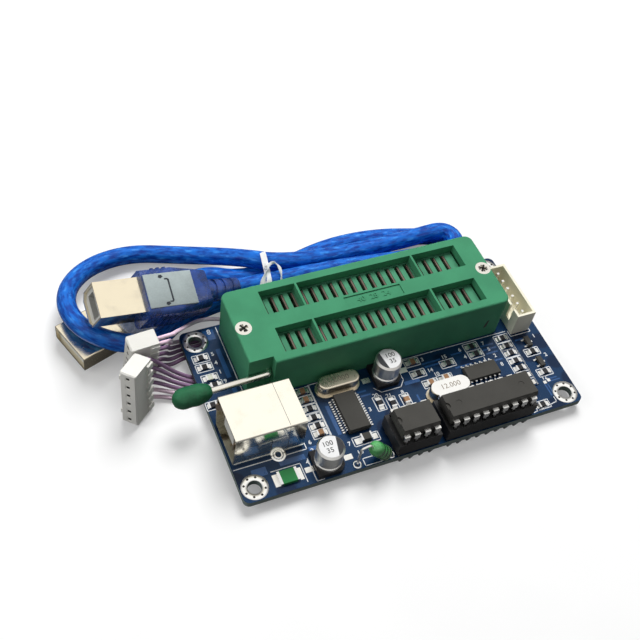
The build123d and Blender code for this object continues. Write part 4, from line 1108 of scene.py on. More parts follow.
# ---- Stage -----------------------------------------------------------------------------------
@dataclass
class Studio:
    """Camera, plain light and a plain pale floor."""

    eye: Point = (-87.5, -111.35, 191.44)
    right: Point = (0.91653839, -0.38104454, 0.1215007)
    up: Point = (0.23360903, 0.75663147, 0.61068457)
    back: Point = (-0.32462933, -0.53133217, 0.78249723)
    lens: float = 55.83
    floor_reach: float = 4.0
    key_place: Point = (170.0, 330.0, 600.0)
    key_aim: Point = (0.0, 10.0, 0.0)
    key_size: float = 0.42
    key_power: float = 5.3
    fill_place: Point = (-480.0, 60.0, 260.0)
    fill_size: float = 0.4
    fill_power: float = 1.0
    ambient: float = 0.18
    thrown_back: float = 0.20
    glow_share: float = 0.26
    white_from: float = 0.02
    white_at: float = 0.16
    sky_low: float = 0.05
    sky_high: float = 0.75
    sky_dim: float = 0.30
    sky_bright: float = 1.12

    def build(self) -> None:
        """Make everything that isn't part of the object."""
        bpy.context.scene.view_settings.view_transform = "Standard"
        self.camera()
        self.lamp("key", self.key_place, self.key_size, self.key_power)
        self.lamp("fill", self.fill_place, self.fill_size, self.fill_power)
        self.world()
        self.floor()

    def camera(self) -> None:
        """Place the camera."""
        data = bpy.data.cameras.new("camera")
        data.lens, data.sensor_width = self.lens, 36.0
        data.clip_start, data.clip_end = 0.01, 20.0
        camera = linked("camera", data)
        axes = Matrix((self.right, self.up, self.back)).transposed().to_4x4()
        camera.matrix_world = Matrix.Translation(Vector(self.eye) * MM) @ axes
        bpy.context.scene.camera = camera

    def lamp(self, name: str, place: Point, size: float, power: float) -> None:
        """Place one soft lamp, turned to the object.

        Args:
            name: The lamp's name.
            place: Its middle, in millimetres.
            size: Its width in metres.
            power: Its power in watts.
        """
        data = bpy.data.lights.new(name, "AREA")
        data.shape, data.size, data.energy = "DISK", size, power
        lamp = linked(name, data)
        lamp.visible_glossy = False
        away = Vector(place) - Vector(self.key_aim)
        turn = away.to_track_quat("Z", "Y").to_matrix().to_4x4()
        lamp.matrix_world = Matrix.Translation(Vector(place) * MM) @ turn

    def world(self) -> None:
        """White for the camera, a sky that brightens upwards for gloss, and a lower level for light."""
        world = bpy.data.worlds.new("surround")
        bpy.context.scene.world = world
        world.use_nodes = True
        tree = world.node_tree
        tree.nodes.clear()
        rays = tree.nodes.new("ShaderNodeLightPath")
        level = tree.nodes.new("ShaderNodeBackground")
        level.inputs["Color"].default_value = (0.97, 0.98, 1.0, 1.0)
        level.inputs["Strength"].default_value = self.ambient
        pale = tree.nodes.new("ShaderNodeBackground")
        pale.inputs["Color"].default_value = (1.0, 0.985, 0.95, 1.0)
        place = tree.nodes.new("ShaderNodeTexCoord")
        parts = tree.nodes.new("ShaderNodeSeparateXYZ")
        height = tree.nodes.new("ShaderNodeMapRange")
        height.interpolation_type = "SMOOTHSTEP"
        sky = (self.sky_low, self.sky_high, self.sky_dim, self.sky_bright)
        for socket, value in zip(height.inputs[1:5], sky):
            socket.default_value = value
        tree.links.new(place.outputs["Generated"], parts.inputs[0])
        tree.links.new(parts.outputs[2], height.inputs[0])
        tree.links.new(height.outputs[0], pale.inputs["Strength"])
        white = tree.nodes.new("ShaderNodeBackground")
        white.inputs["Color"].default_value = (1.0, 1.0, 1.0, 1.0)
        white.inputs["Strength"].default_value = 1.0
        gloss = tree.nodes.new("ShaderNodeMixShader")
        seen = tree.nodes.new("ShaderNodeMixShader")
        leave = tree.nodes.new("ShaderNodeOutputWorld")
        tree.links.new(rays.outputs["Is Glossy Ray"], gloss.inputs[0])
        tree.links.new(level.outputs[0], gloss.inputs[1])
        tree.links.new(pale.outputs[0], gloss.inputs[2])
        tree.links.new(rays.outputs["Is Camera Ray"], seen.inputs[0])
        tree.links.new(gloss.outputs[0], seen.inputs[1])
        tree.links.new(white.outputs[0], seen.inputs[2])
        tree.links.new(seen.outputs[0], leave.inputs[0])

    def floor(self) -> None:
        """A pale floor that keeps the shadow, throws little light back and turns white far off."""
        shape = Shape("floor")
        reach = self.floor_reach / MM / 2
        shape.block((-reach, -reach, FLOOR_LEVEL - 20.0), (reach, reach, FLOOR_LEVEL))
        graph = Graph("floor_white")
        fine = graph.noise(40.0, 2.0)
        rays = graph.add("ShaderNodeLightPath")
        seen = Value(graph, rays.outputs["Is Camera Ray"])
        paper = graph.mix(fine.ramp(0.3, 0.7), (0.93, 0.93, 0.925), (0.95, 0.95, 0.945))
        paper = graph.mix(seen, (self.thrown_back,) * 3, paper)
        lit = graph.add("ShaderNodeBsdfDiffuse", None, Color=paper)
        glow = graph.add("ShaderNodeEmission", None, Color=(1.0, 1.0, 1.0), Strength=1.0)
        x, y, _ = graph.axes()
        share = seen * (x * x + y * y).ramp(self.white_from, self.white_at, self.glow_share, 1.0)
        both = graph.add("ShaderNodeMixShader", None)
        graph.link(share, both.inputs[0])
        graph.link(lit.outputs[0], both.inputs[1])
        graph.link(glow.outputs[0], both.inputs[2])
        material = graph.end(both.outputs[0])
        floor = shape.build(Ready("floor_white", material))


@dataclass(frozen=True)
class Ready:
    """A finish whose material is already made."""

    name: str
    made: bpy.types.Material

    def material(self) -> bpy.types.Material:
        """Hand the material over."""
        return self.made


# ---- Cable -----------------------------------------------------------------------------------
@dataclass
class TwistTie:
    """Paper-covered wire round the bundle, knotted on top with two tails."""

    x: float = -17.45
    lean: float = 0.19
    width: float = 1.5
    thick: float = 0.24
    core: float = 0.32
    strands: Sequence[Flat] = ((30.0, 4.95), (36.5, 4.95), (36.0, 0.72), (31.4, 0.72))
    cable_radius: float = 2.25
    knot: Sequence[Point] = (
        (-17.9, 33.0, 7.7), (-17.2, 32.5, 8.5), (-17.3, 31.7, 8.6), (-18.2, 31.7, 7.9),
        (-18.2, 32.6, 8.3), (-17.4, 32.6, 8.9), (-17.2, 31.9, 8.3))
    broad_tail: Sequence[Point] = (
        (-17.4, 33.2, 7.7), (-17.9, 32.4, 8.2), (-17.8, 31.5, 8.1), (-18.4, 30.6, 7.8),
        (-19.3, 29.4, 7.5), (-20.1, 28.3, 7.1), (-20.7, 27.1, 5.9))
    thin_tail: Sequence[Point] = (
        (-18.0, 31.9, 7.8), (-17.2, 32.1, 8.7), (-16.4, 32.4, 9.1), (-15.5, 32.1, 9.1),
        (-14.9, 30.8, 8.6), (-15.0, 29.3, 8.1), (-15.4, 28.0, 7.6), (-15.7, 27.2, 6.6))

    def band_path(self) -> tuple[list[Vector], list[Vector]]:
        """The closed line round the strands, with the ribbon's width along X.

        Returns:
            The line's points, and for each the way that the ribbon's width runs.
        """
        points = []
        clear = self.cable_radius + 0.06
        mid_y = sum(y for y, _ in self.strands) / len(self.strands)
        mid_z = sum(z for _, z in self.strands) / len(self.strands)
        for step in range(64):
            angle = math.tau * step / 64
            way = Vector((math.cos(angle), math.sin(angle)))
            reach = max(self.strands, key=lambda s: (s[0] - mid_y) * way.x + (s[1] - mid_z) * way.y)
            y = reach[0] + clear * way.x
            z = max(reach[1] + clear * way.y, FLOOR_LEVEL + 0.08 + self.thick / 2)
            points.append(Vector((self.x + self.lean * (y - mid_y), y, z)))
        return points, [Vector((1.0, 0.0, 0.0))] * len(points)

    def section(self, width: float) -> list[Flat]:
        """A thin ribbon with the wire's bulge along its middle.

        Args:
            width: The ribbon's width.

        Returns:
            The section's corners.
        """
        half, thin = width / 2, self.thick / 2
        bulge = self.core / 2
        return [(-half, -thin / 2), (-bulge, -thin), (bulge, -thin), (half, -thin / 2),
                (half, thin / 2), (bulge, bulge), (0.0, bulge * 1.25), (-bulge, bulge), (-half, thin / 2)]

    def tail(self, shape: Shape, points: Sequence[Point], turns: float, width: float) -> None:
        """Add one ribbon end that twists as it goes.

        Args:
            shape: The piece being made.
            points: Control points of its line.
            turns: How far it twists.
            width: The ribbon's width.
        """
        rows = Cord("tail", points, 0.3, TIE_WHITE, steps=8).frames()
        path = [point / MM for point, _, _ in rows]
        sides = []
        for i, (_, across, up) in enumerate(rows):
            angle = math.tau * turns * i / (len(rows) - 1)
            sides.append(across * math.cos(angle) + up * math.sin(angle))
        shape.band(path, sides, self.section(width))

    def build(self) -> bpy.types.Object:
        """Make the tie.

        Returns:
            The tie.
        """
        shape = Shape("bundle_tie")
        path, sides = self.band_path()
        shape.band(path, sides, self.section(self.width), closed=True)
        self.tail(shape, self.knot, 0.5, 1.0)
        self.tail(shape, self.broad_tail, 0.35, 1.5)
        self.tail(shape, self.thin_tail, 1.2, 0.75)
        return ridden(shape.build(TIE_WHITE, 30.0), Body.ROOT, "tie_white", "twist_tie")


@dataclass
class DataCable:
    """The blue cable as one cord, from plug to plug through the tied bundle, and the tie round the bundle."""

    radius: float = 2.25
    b_exit: Point = (-26.41, 29.85, 6.01)
    a_exit: Point = (-33.56, 38.72, 1.75)
    length: float = 0.361
    upper_run: Sequence[Point] = (
        (-22.4, 30.1, 5.4), (-16.0, 30.0, 4.95), (-5.0, 29.6, 4.95), (6.0, 28.8, 4.8),
        (16.0, 27.4, 4.95), (27.0, 26.6, 4.95), (30.8, 26.45, 4.95), (32.9, 27.1, 4.95),
        (34.2, 28.9, 4.95), (34.2, 31.1, 4.95), (32.9, 32.9, 4.95), (30.8, 33.55, 4.95),
        (28.5, 33.5, 4.95), (24.0, 34.0, 4.0), (17.0, 34.9, 2.7),
        (8.0, 35.3, 2.3), (-2.0, 35.0, 3.3), (-10.0, 34.7, 4.9), (-16.0, 36.5, 4.95))
    loop: Sequence[Point] = (
        (-18.0, 37.9, 4.75), (-24.6, 42.9, 2.5), (-35.2, 48.4, 0.45), (-46.6, 52.0, 0.85),
        (-57.2, 50.0, 1.8), (-64.4, 42.8, 4.2), (-66.4, 33.8, 6.6), (-63.4, 25.9, 7.1),
        (-56.2, 21.3, 6.0), (-48.3, 22.45, 2.5), (-41.0, 28.7, 0.55), (-29.6, 31.0, 0.45),
        (-18.0, 31.4, 0.6))
    lower_run: Sequence[Point] = (
        (-5.0, 31.1, 0.45), (8.0, 30.7, 0.45), (18.0, 28.6, 0.45), (26.5, 27.4, 0.45),
        (30.2, 27.6, 0.45), (32.8, 29.3, 0.45), (33.8, 32.1, 0.45), (32.7, 34.8, 0.45),
        (30.2, 36.2, 0.45), (27.0, 36.9, 0.45),
        (19.0, 39.2, 0.45), (10.5, 40.2, 0.45), (1.6, 39.9, 0.45), (-7.8, 37.8, 0.45),
        (-16.0, 36.0, 0.6), (-24.5, 37.0, 0.55), (-30.2, 39.2, 1.4))

    def build(self) -> None:
        tie = TwistTie().build()
        route = [self.b_exit, *self.upper_run, *self.loop, *self.lower_run, self.a_exit]
        cord = Cord("data_cable", route, self.radius, ClearSkin(), 24, 10)
        piece = cord.tube()
        ridden(piece, Body.ROOT, "cable_blue", "usb_cable_loop", "usb_cable_b_lead",
               "usb_cable_a_lead", "usb_cable_hank")


@dataclass
class SquarePlug:
    """What shows through and on the square plug's grip."""

    patterns: Patterns
    place: Matrix = field(default_factory=lambda: frame_matrix(
        (-61.9, 27.1, 15.0), (0.967, 0.075, -0.245), (0.255, -0.351, 0.901)))
    shell_length: float = 11.1
    grip_top: float = 5.1
    block_end: float = 23.4
    block_fall: float = 0.22
    block_half: float = 4.05

    def build(self) -> None:
        """Make the inner block, its marks and the grip's ridges."""
        shape = Shape("plug_inner_block")
        start = self.shell_length + 0.35
        half, level = self.block_half, self.grip_top + 0.18
        end_level = level - self.block_fall
        corners = [(start, -half, level), (self.block_end, -half, end_level),
                   (self.block_end, half, end_level), (start, half, level)]
        drawn = [(x + (0.1 if x < 15 else -0.1), y - math.copysign(0.1, y), z + 0.06) for x, y, z in corners]
        points = [(x, y, 3.2) for x, y, _ in corners] + corners + drawn
        faces = [(0, 1, 2, 3), (8, 9, 10, 11)]
        for ring in (0, 4):
            faces += [(ring + i, ring + (i + 1) % 4, ring + 4 + (i + 1) % 4, ring + 4 + i) for i in range(4)]
        shape.add(points, faces, self.place)
        ridden(shape.build(INNER_WHITE), Body.ROOT, "clear_blue")
        shape = Shape("plug_inner_marks")
        top = self.grip_top + 0.10
        bracket = (((17.1, -2.9), (17.5, 2.5)), ((16.4, 2.35), (17.3, 2.7)), ((16.4, -3.15), (17.3, -2.8)))
        for low, high in bracket:
            shape.block((*low, top), (*high, top + 0.07), 0.02, self.place)
        for x, y in ((15.6, 3.2), (15.9, -3.4)):
            outline = [(x - 0.62, y - 0.15), (x - 0.1, y - 0.5), (x + 0.62, y - 0.1),
                       (x + 0.35, y + 0.45), (x - 0.4, y + 0.4)]
            shape.prism(outline, top, top + 0.08, 0.02, self.place)
        ridden(shape.build(MARK_DARK), Body.ROOT, "clear_blue")
        turn = tuple(math.degrees(angle) for angle in self.place.to_euler())
        places, reach = [], []
        for side in (-1, 1):
            for i in range(3):
                places.append(tuple(self.place @ Vector((14.6 + 1.5 * i, side * 5.74, 0.9))))
                reach.append((0.7, 0.30, 6.4))
        ridges = self.patterns.plates.make("plug_grip_ridges", GRIP_BLUE, places, reach, [turn] * len(places))
        ridden(ridges, Body.ROOT, "clear_blue")


@dataclass
class WireLead:
    """Six fine wires between two white housings, and the crimps in the housings."""

    patterns: Patterns
    radius: float = 0.48
    step: float = 1.2
    layer: float = -1.15
    entry: Flat = (-44.6, 12.9)
    dip_angle: float = 20.0
    dip_length: float = 10.2
    turn_side: float = 4.1
    turn_corners: int = 4
    back_x: float = -42.8
    plug_depth: float = 6.6
    front_run: float = 1.76
    back_run: float = 1.42
    back_spread: float = 0.72
    pitch: float = 2.5
    lengths: Sequence[float] = (0.0785, 0.0722, 0.0665, 0.0612, 0.0565, 0.0535)
    raised: Sequence[Sequence[Point]] = (
        ((-27.6, 24.9, -1.0), (-31.5, 25.8, 0.6), (-37.2, 24.9, 3.6), (-42.4, 20.9, 7.4),
         (-46.9, 17.1, 11.2)),)
    front: Matrix = field(default_factory=lambda: frame_matrix(
        (-59.6, 6.2, 6.7), (0.716, 0.682, -0.149), (0.04, 0.173, 0.984)))
    back: Matrix = field(default_factory=lambda: frame_matrix(
        (-57.2, 16.3, 6.4), (0.99, 0.087, -0.05), (0.04, -0.12, 0.992)))

    def turn(self) -> list[tuple[float, float, float, float]]:
        """Corners of the innermost wire's turn, with its heading before and after each.

        Returns:
            For each corner its x, its y and the two headings in degrees.
        """
        x, y = self.entry
        heading = -self.dip_angle
        corners = [(x, y, 0.0, heading)]
        length = self.dip_length
        bend = (180.0 + self.dip_angle) / self.turn_corners
        for _ in range(self.turn_corners):
            x += length * math.cos(math.radians(heading))
            y += length * math.sin(math.radians(heading))
            corners.append((x, y, heading, heading + bend))
            heading += bend
            length = self.turn_side
        corners.append((self.back_x, y, 180.0, 180.0))
        return corners

    def beside(self, corner: tuple[float, float, float, float], distance: float) -> Point:
        """A corner of a wire that lies outside the innermost one.

        Args:
            corner: The innermost wire's corner, as turn gives it.
            distance: How far outside it the wire lies.

        Returns:
            The wire's own corner.
        """
        x, y, before, after = corner
        middle = math.radians((before + after) / 2)
        shift = distance / math.cos(math.radians((after - before) / 2))
        return (x + shift * math.sin(middle), y - shift * math.cos(middle), self.layer)

    def route(self, index: int) -> list[Point]:
        """Control points of one wire, from housing to housing.

        Args:
            index: The wire's number, from 0.

        Returns:
            The control points.
        """
        way = (index - 2.5) * self.pitch
        lane = 5 - index
        run = self.plug_depth + self.back_run + lane * self.back_spread
        ahead = self.plug_depth + self.front_run
        first = [tuple(self.front @ Vector((x, 0.0, way))) for x in (self.plug_depth, ahead)]
        last = [tuple(self.back @ Vector((x, 0.0, -way))) for x in (run, self.plug_depth)]
        corners = [self.beside(corner, lane * self.step) for corner in self.turn()]
        if index < len(self.raised):
            return [*first, *corners[:-2], *self.raised[index], *last]
        fall = (-46.6, 16.9 + 0.7 * lane, 0.5 * last[0][2] - 0.4)
        return [*first, *corners, fall, *last]

    def build(self) -> None:
        """Make the wires and the crimps."""
        for index, length in enumerate(self.lengths):
            finish = WIRE_PALE if index < 2 else WIRE_MAUVE
            slot = "wire_skin_pale" if index < 2 else "wire_skin"
            route = self.route(index)
            cord = Cord(f"lead_wire_{index + 1}", route, self.radius, finish, 14, 10)
            piece = cord.tube()
            ridden(piece, Body.ROOT, slot, f"programming_wire_{index + 1}")
            [part * MM for part in route[0]]
        places, turns = [], []
        for frame in (self.front, self.back):
            turn = tuple(math.degrees(angle) for angle in frame.to_euler())
            for index in range(6):
                places.append(tuple(frame @ Vector((3.2, 0.0, (index - 2.5) * self.pitch))))
                turns.append(turn)
        # The dark housing slits are painted shade in the housings' openings; the white plates are the
        # housings' faces.
        for name, finish, centre, size in (
                ("housing_faces", PLUG_WHITE, 0.34, (0.5, 1.5, 1.5)),
                ("housing_slits", PAINTED_SLOT_SHADE_AND_SEAMS, 0.07, (0.06, 0.75, 0.5))):
            spots, angles = [], []
            for place in (self.front, self.back):
                angle = tuple(math.degrees(part) for part in place.to_euler())
                for way in ((index - 2.5) * self.pitch for index in range(6)):
                    spots.append(tuple(place @ Vector((centre, 0.0, way))))
                    angles.append(angle)
            plates = self.patterns.plates.make(name, finish, spots, [size] * len(spots), angles)
            ridden(plates, Body.ROOT, "plug_white")
        crimps = self.patterns.plates.make("housing_crimps", BRONZE, places, [(3.4, 0.9, 0.9)] * 12, turns)
        ridden(crimps, Body.ROOT, "contact_bronze")


# ---- Board -----------------------------------------------------------------------------------
@dataclass
class BoardFace:
    """Printing, lands, lanes and pads on the board's upper face."""

    patterns: Patterns
    silk: float = 0.20
    rise: float = 0.03
    frame: Flat = (3.9, 2.2)
    land: Flat = (0.8, 1.25)
    land_from_middle: float = 1.28
    holes: Sequence[Flat] = ((-39.7, -20.2), (39.7, -20.2), (-39.7, 20.2), (39.7, 20.2))
    along_x: Sequence[Flat] = (
        (-40.0, 15.3), (-40.0, 12.6), (-39.7, 9.4), (-39.3, 7.2), (-41.1, 2.15),
        (-20.95, -0.73), (-20.95, -3.12), (-20.95, -5.54), (-20.95, -8.0), (-20.95, -10.3),
        (-21.0, -12.3), (7.5, -1.0), (7.6, -4.4), (9.3, -7.8), (13.4, -7.6), (15.9, -3.9),
        (23.8, -1.2), (23.9, -3.5), (32.5, -1.3), (32.5, -3.7), (32.5, -5.95), (32.5, -8.4),
        (32.5, -10.6), (32.5, -12.9), (32.5, -15.2), (38.0, -7.2), (37.9, -13.5), (32.4, -21.7))
    along_y: Sequence[Flat] = ((-4.8, -9.2), (-1.8, -10.2), (1.6, -10.4))
    lines: Sequence[tuple[float, float, float, float]] = (
        (-33.8, 1.2, -33.8, 22.9), (-18.8, 0.55, -18.8, -13.4), (-19.0, 0.62, -16.2, 0.62),
        (3.0, 0.45, 34.4, 0.45), (-42.6, -15.0, -33.7, -15.0), (-30.3, -15.0, -25.5, -15.0),
        (-25.5, -15.0, -25.5, -13.5), (-14.9, -15.75, -8.5, -15.75), (-8.5, -15.75, -8.5, -18.05),
        (-8.5, -18.05, -14.6, -18.05), (-14.9, -15.75, -14.9, -17.9), (-14.6, -21.3, -9.9, -21.3),
        (-14.6, -21.3, -14.6, -23.2), (-14.6, -23.2, -9.9, -23.2), (-6.5, -15.0, -6.5, -18.0),
        (-6.5, -20.0, -6.5, -23.2), (-6.5, -18.0, -5.9, -18.6), (-5.9, -18.6, -5.9, -19.4),
        (-5.9, -19.4, -6.5, -20.0), (-4.4, -4.9, -3.0, -6.5), (-3.0, -6.5, 2.0, -6.5),
        (2.0, -6.5, 3.4, -4.9), (3.4, -4.9, 3.4, 0.2), (35.1, -1.4, 40.8, -1.4), (40.8, -1.4, 40.8, 0.3),
        (35.1, -1.4, 35.1, 0.3), (34.5, -0.2, 34.5, -16.3), (29.9, -16.3, 34.5, -16.3),
        (36.3, -21.9, 29.4, -23.0), (36.3, -21.9, 36.3, -20.6), (-26.3, -23.2, -26.3, -17.4),
        (-26.3, -23.2, -24.6, -23.2), (-28.3, -17.9, -28.3, -22.6), (-35.1, -17.9, -28.3, -17.9))
    white_lands: Sequence[tuple[float, float, float, float]] = (
        (-26.9, -20.0, 2.0, 1.3), (-17.5, -19.9, 2.0, 1.3), (4.4, -2.4, 2.2, 1.4), (-5.3, -2.4, 2.0, 1.4),
        (-34.6, -20.3, 1.5, 3.0), (-29.4, -20.3, 1.5, 3.0), (-13.7, -16.9, 1.5, 1.5), (-9.5, -16.8, 1.3, 1.4),
        (36.4, -16.2, 0.8, 0.8), (37.6, -15.9, 0.8, 0.8))
    lanes: Sequence[tuple[float, float, float, float]] = (
        (5.2, -6.0, 4.0, 1.0), (-7.5, -4.9, 2.2, 0.45), (-7.0, -6.1, 2.6, 0.45), (35.9, 19.4, 1.2, 4.2),
        (-36.0, 21.2, 2.6, 3.0), (-35.4, 12.5, 1.1, 8.5), (-35.4, 4.0, 1.1, 4.5), (-29.6, -16.6, 6.0, 1.3),
        (-37.5, -17.2, 3.4, 2.0), (-16.9, -10.0, 0.9, 8.0), (-23.6, -15.4, 3.0, 1.2), (12.2, -2.2, 5.0, 0.45),
        (12.2, -3.2, 4.4, 0.45), (19.3, -1.9, 3.0, 0.45), (19.4, -5.7, 4.6, 0.45), (27.9, -1.9, 3.6, 0.45),
        (28.0, -3.1, 3.8, 0.45), (28.1, -4.3, 3.2, 0.45), (28.6, -6.7, 2.4, 0.45), (36.6, -2.9, 2.2, 0.45),
        (38.6, -15.6, 3.0, 0.35), (38.9, -16.3, 3.4, 0.35), (36.8, -18.3, 0.35, 3.0),
        (36.1, -18.3, 0.35, 3.6),
        (2.9, -12.4, 4.2, 0.45), (4.7, -11.2, 0.45, 3.0), (27.2, -14.0, 3.6, 0.45), (-2.9, -13.4, 4.8, 0.45))

    def bars(self, name: str, finish: object, slot: str, rows: Iterable[tuple[Flat, Flat, float]],
             high: float) -> None:
        """Make flat bars on the board.

        Args:
            name: The piece's name.
            finish: Its finish.
            slot: Its material slot.
            rows: Centre, size and turn of each.
            high: How thick they are.
        """
        rows = list(rows)
        places = [(centre[0], centre[1], BOARD_TOP + high / 2) for centre, _, _ in rows]
        reach = [(size[0], size[1], high) for _, size, _ in rows]
        turns = [(0.0, 0.0, turn) for _, _, turn in rows]
        ridden(self.patterns.plates.make(name, finish, places, reach, turns), Body.ROOT, slot)

    def outline(self, centre: Flat, size: Flat) -> list[tuple[Flat, Flat, float]]:
        """Four bars that frame a chip part."""
        (x, y), (length, width) = centre, size
        along, across = (length, self.silk), (self.silk, width)
        return [((x, y - width / 2), along, 0.0), ((x, y + width / 2), along, 0.0),
                ((x - length / 2, y), across, 0.0), ((x + length / 2, y), across, 0.0)]

    def printing(self) -> None:
        """White outlines and lines."""
        rows: list[tuple[Flat, Flat, float]] = []
        for centre in self.along_x:
            rows += self.outline(centre, self.frame)
        for centre in self.along_y:
            rows += self.outline(centre, self.frame[::-1])
        for x0, y0, x1, y1 in self.lines:
            length = math.hypot(x1 - x0, y1 - y0) + self.silk
            turn = math.degrees(math.atan2(y1 - y0, x1 - x0))
            rows.append((((x0 + x1) / 2, (y0 + y1) / 2), (length, self.silk), turn))
        self.bars("board_printing", SILK_WHITE, "board_mask", rows, self.rise)

    def metal(self) -> None:
        """Soldered lands of the chip parts and the larger bare lands."""
        rows: list[tuple[Flat, Flat, float]] = []
        for sign in (-1, 1):
            shift = sign * self.land_from_middle
            rows += [((x + shift, y), self.land, 0.0) for x, y in self.along_x]
            rows += [((x, y + shift), self.land[::-1], 0.0) for x, y in self.along_y]
        rows += [((x, y), (length, width), 0.0) for x, y, length, width in self.white_lands]
        self.bars("board_lands", LAND_TIN, "solder", rows, 0.05)

    def copper(self) -> None:
        """Lanes of copper under the mask."""
        rows = [((x, y), (length, width), 0.0) for x, y, length, width in self.lanes]
        self.bars("board_lanes", LANE_BLUE, "board_mask", rows, 0.012)

    def rings(self) -> None:
        """Pads of the mounting holes with their small vias as painted shade, and rings round larger leads."""
        holes = [(x, y, BOARD_TOP) for x, y in self.holes]
        washers = self.patterns.washers
        pads = washers.make("hole_pads", PAD_TIN, holes, Inner=1.62 * MM, Outer=3.07 * MM)
        ridden(pads, Body.ROOT, "solder")
        above = [(x, y, BOARD_TOP + 0.045) for x, y in self.holes]
        # Dark discs round each hole are painted shade for the open vias.
        vias = self.patterns.discs_round.make(
            "hole_vias", PAINTED_SLOT_SHADE_AND_SEAMS, above, None, [(0.0, 0.0, 22.5)] * 4, Circle=2.38 * MM, Radius=0.28 * MM)
        ridden(vias, Body.ROOT, "board_mask")
        legs = [(-32.0, -14.4, BOARD_TOP), (-32.0, -2.3, BOARD_TOP), (-16.3, -22.25, BOARD_TOP),
                (-8.1, -22.25, BOARD_TOP)]
        rings = washers.make("lead_rings", SOLDER, legs, Inner=0.62 * MM, Outer=1.05 * MM, Rise=0.14 * MM)
        ridden(rings, Body.ROOT, "solder")
        wide = washers.make("leg_rings", SOLDER, legs[:2], Inner=1.1 * MM, Outer=1.75 * MM, Rise=0.10 * MM)
        ridden(wide, Body.ROOT, "solder")

    def numbers(self) -> None:
        """Plain reference numbers beside the parts."""
        rows = [("5", -37.0, 15.7), ("4", -37.0, 13.1), ("1", -36.9, 10.4), ("9", -36.6, 7.6),
                ("3", 10.4, -1.0), ("14", 10.9, -4.4), ("15", 15.9, -1.9), ("6", 20.6, -1.2),
                ("4", 21.0, -3.5), ("7", 27.2, -1.2), ("5", 27.8, -3.2), ("2", 28.4, -5.4),
                ("8", 28.8, -8.2), ("10", 11.9, -5.9), ("2", 40.9, -9.0), ("1", 40.9, -3.0),
                ("12", 36.9, -15.0), ("20", -4.8, -6.9), ("21", -1.8, -7.9), ("8", 1.7, -8.0),
                ("2", 7.0, -10.8), ("6", -24.2, -13.7), ("2", -24.4, -15.8), ("4", -26.6, -18.2),
                ("7", -15.9, -16.9), ("16", -14.4, -19.6), ("1", 25.4, -5.6), ("3", -7.6, -10.0)]
        numbers = [Numeral(text, 1.45, (x, y, BOARD_TOP + 0.015), 0.0, 0.03) for text, x, y in rows]
        numbers.append(Numeral("8", 2.0, (-35.8, 22.0, BOARD_TOP + 0.015), 0.0, 0.03))
        ridden(numerals("board_numbers", numbers, SILK_WHITE, 0.03), Body.ROOT, "board_mask")

    def build(self) -> None:
        """Make everything on the board's face."""
        self.copper()
        self.metal()
        self.printing()
        self.rings()
        self.numbers()


@dataclass
class LeverSocket:
    """Small pieces of the lever socket: numbers, painted shade in a slit and in the screw slots, and contact
    tips.
    """

    patterns: Patterns
    screws: Sequence[Flat] = ((-31.37, 12.09), (30.83, 12.09))
    first_way: float = -24.25
    pitch: float = 2.54
    ways: int = 20
    row_half: float = 5.5
    top: float = 14.04
    recess_depth: float = 0.3
    recess: Flat = (1.2, 12.09)
    front_y: float = 0.99

    def build(self) -> None:
        """Make them all."""
        floor = self.top - self.recess_depth
        row = Numeral("40  28  24", 2.1, (*self.recess, floor + 0.08), 0.0, 0.16)
        ridden(numerals("socket_number", [row], SOCKET_GREEN), Body.ROOT, "socket_green")
        # A dark slab on the socket's front is painted shade in its slit.
        shape = Shape("socket_painted_slit_shade")
        lean = 0.35
        outline = [(27.35, 5.1), (28.1, 5.4), (28.1 + lean, 7.9), (27.6 + lean, 7.7)]
        points = [(x, self.front_y + depth, z) for depth in (-0.02, 0.02) for x, z in outline]
        faces = [(0, 1, 2, 3), (7, 6, 5, 4), (0, 4, 5, 1), (1, 5, 6, 2), (2, 6, 7, 3), (3, 7, 4, 0)]
        shape.add(points, faces)
        ridden(shape.build(PAINTED_SLOT_SHADE_AND_SEAMS), Body.ROOT, "socket_green")
        self.screw_slots()
        self.contact_tips()

    def screw_slots(self) -> None:
        """Dark crosses on the two screw heads, painted shade in their slots."""
        level = top_of("cover_screws") + 0.012
        places, reach, turns = [], [], []
        for (x, y), turn in zip(self.screws, (28.0, 52.0)):
            for quarter in (0.0, 90.0):
                places.append((x, y, level))
                reach.append((2.3, 0.52, 0.03))
                turns.append((0.0, 0.0, turn + quarter))
        # The crosses are painted shade, laid on the heads' tops.
        slots = self.patterns.plates.make("screw_slots", PAINTED_SLOT_SHADE_AND_SEAMS, places, reach, turns)
        ridden(slots, Body.ROOT, "bright_steel")

    def contact_tips(self) -> None:
        """The forty contact tips in the comb's slots, which the comb carries with it."""
        level = top_of("contact_slider") - 0.60
        places = []
        for row_y in (self.recess[1] - self.row_half, self.recess[1] + self.row_half):
            places += [(self.first_way + self.pitch * way + 0.40, row_y, level) for way in range(self.ways)]
        tips = self.patterns.plates.make("contact_tips", TIP_BRONZE, places, [(0.40, 5.7, 0.9)] * len(places))
        ridden(tips, Body.SLIDER, "contact_bronze")


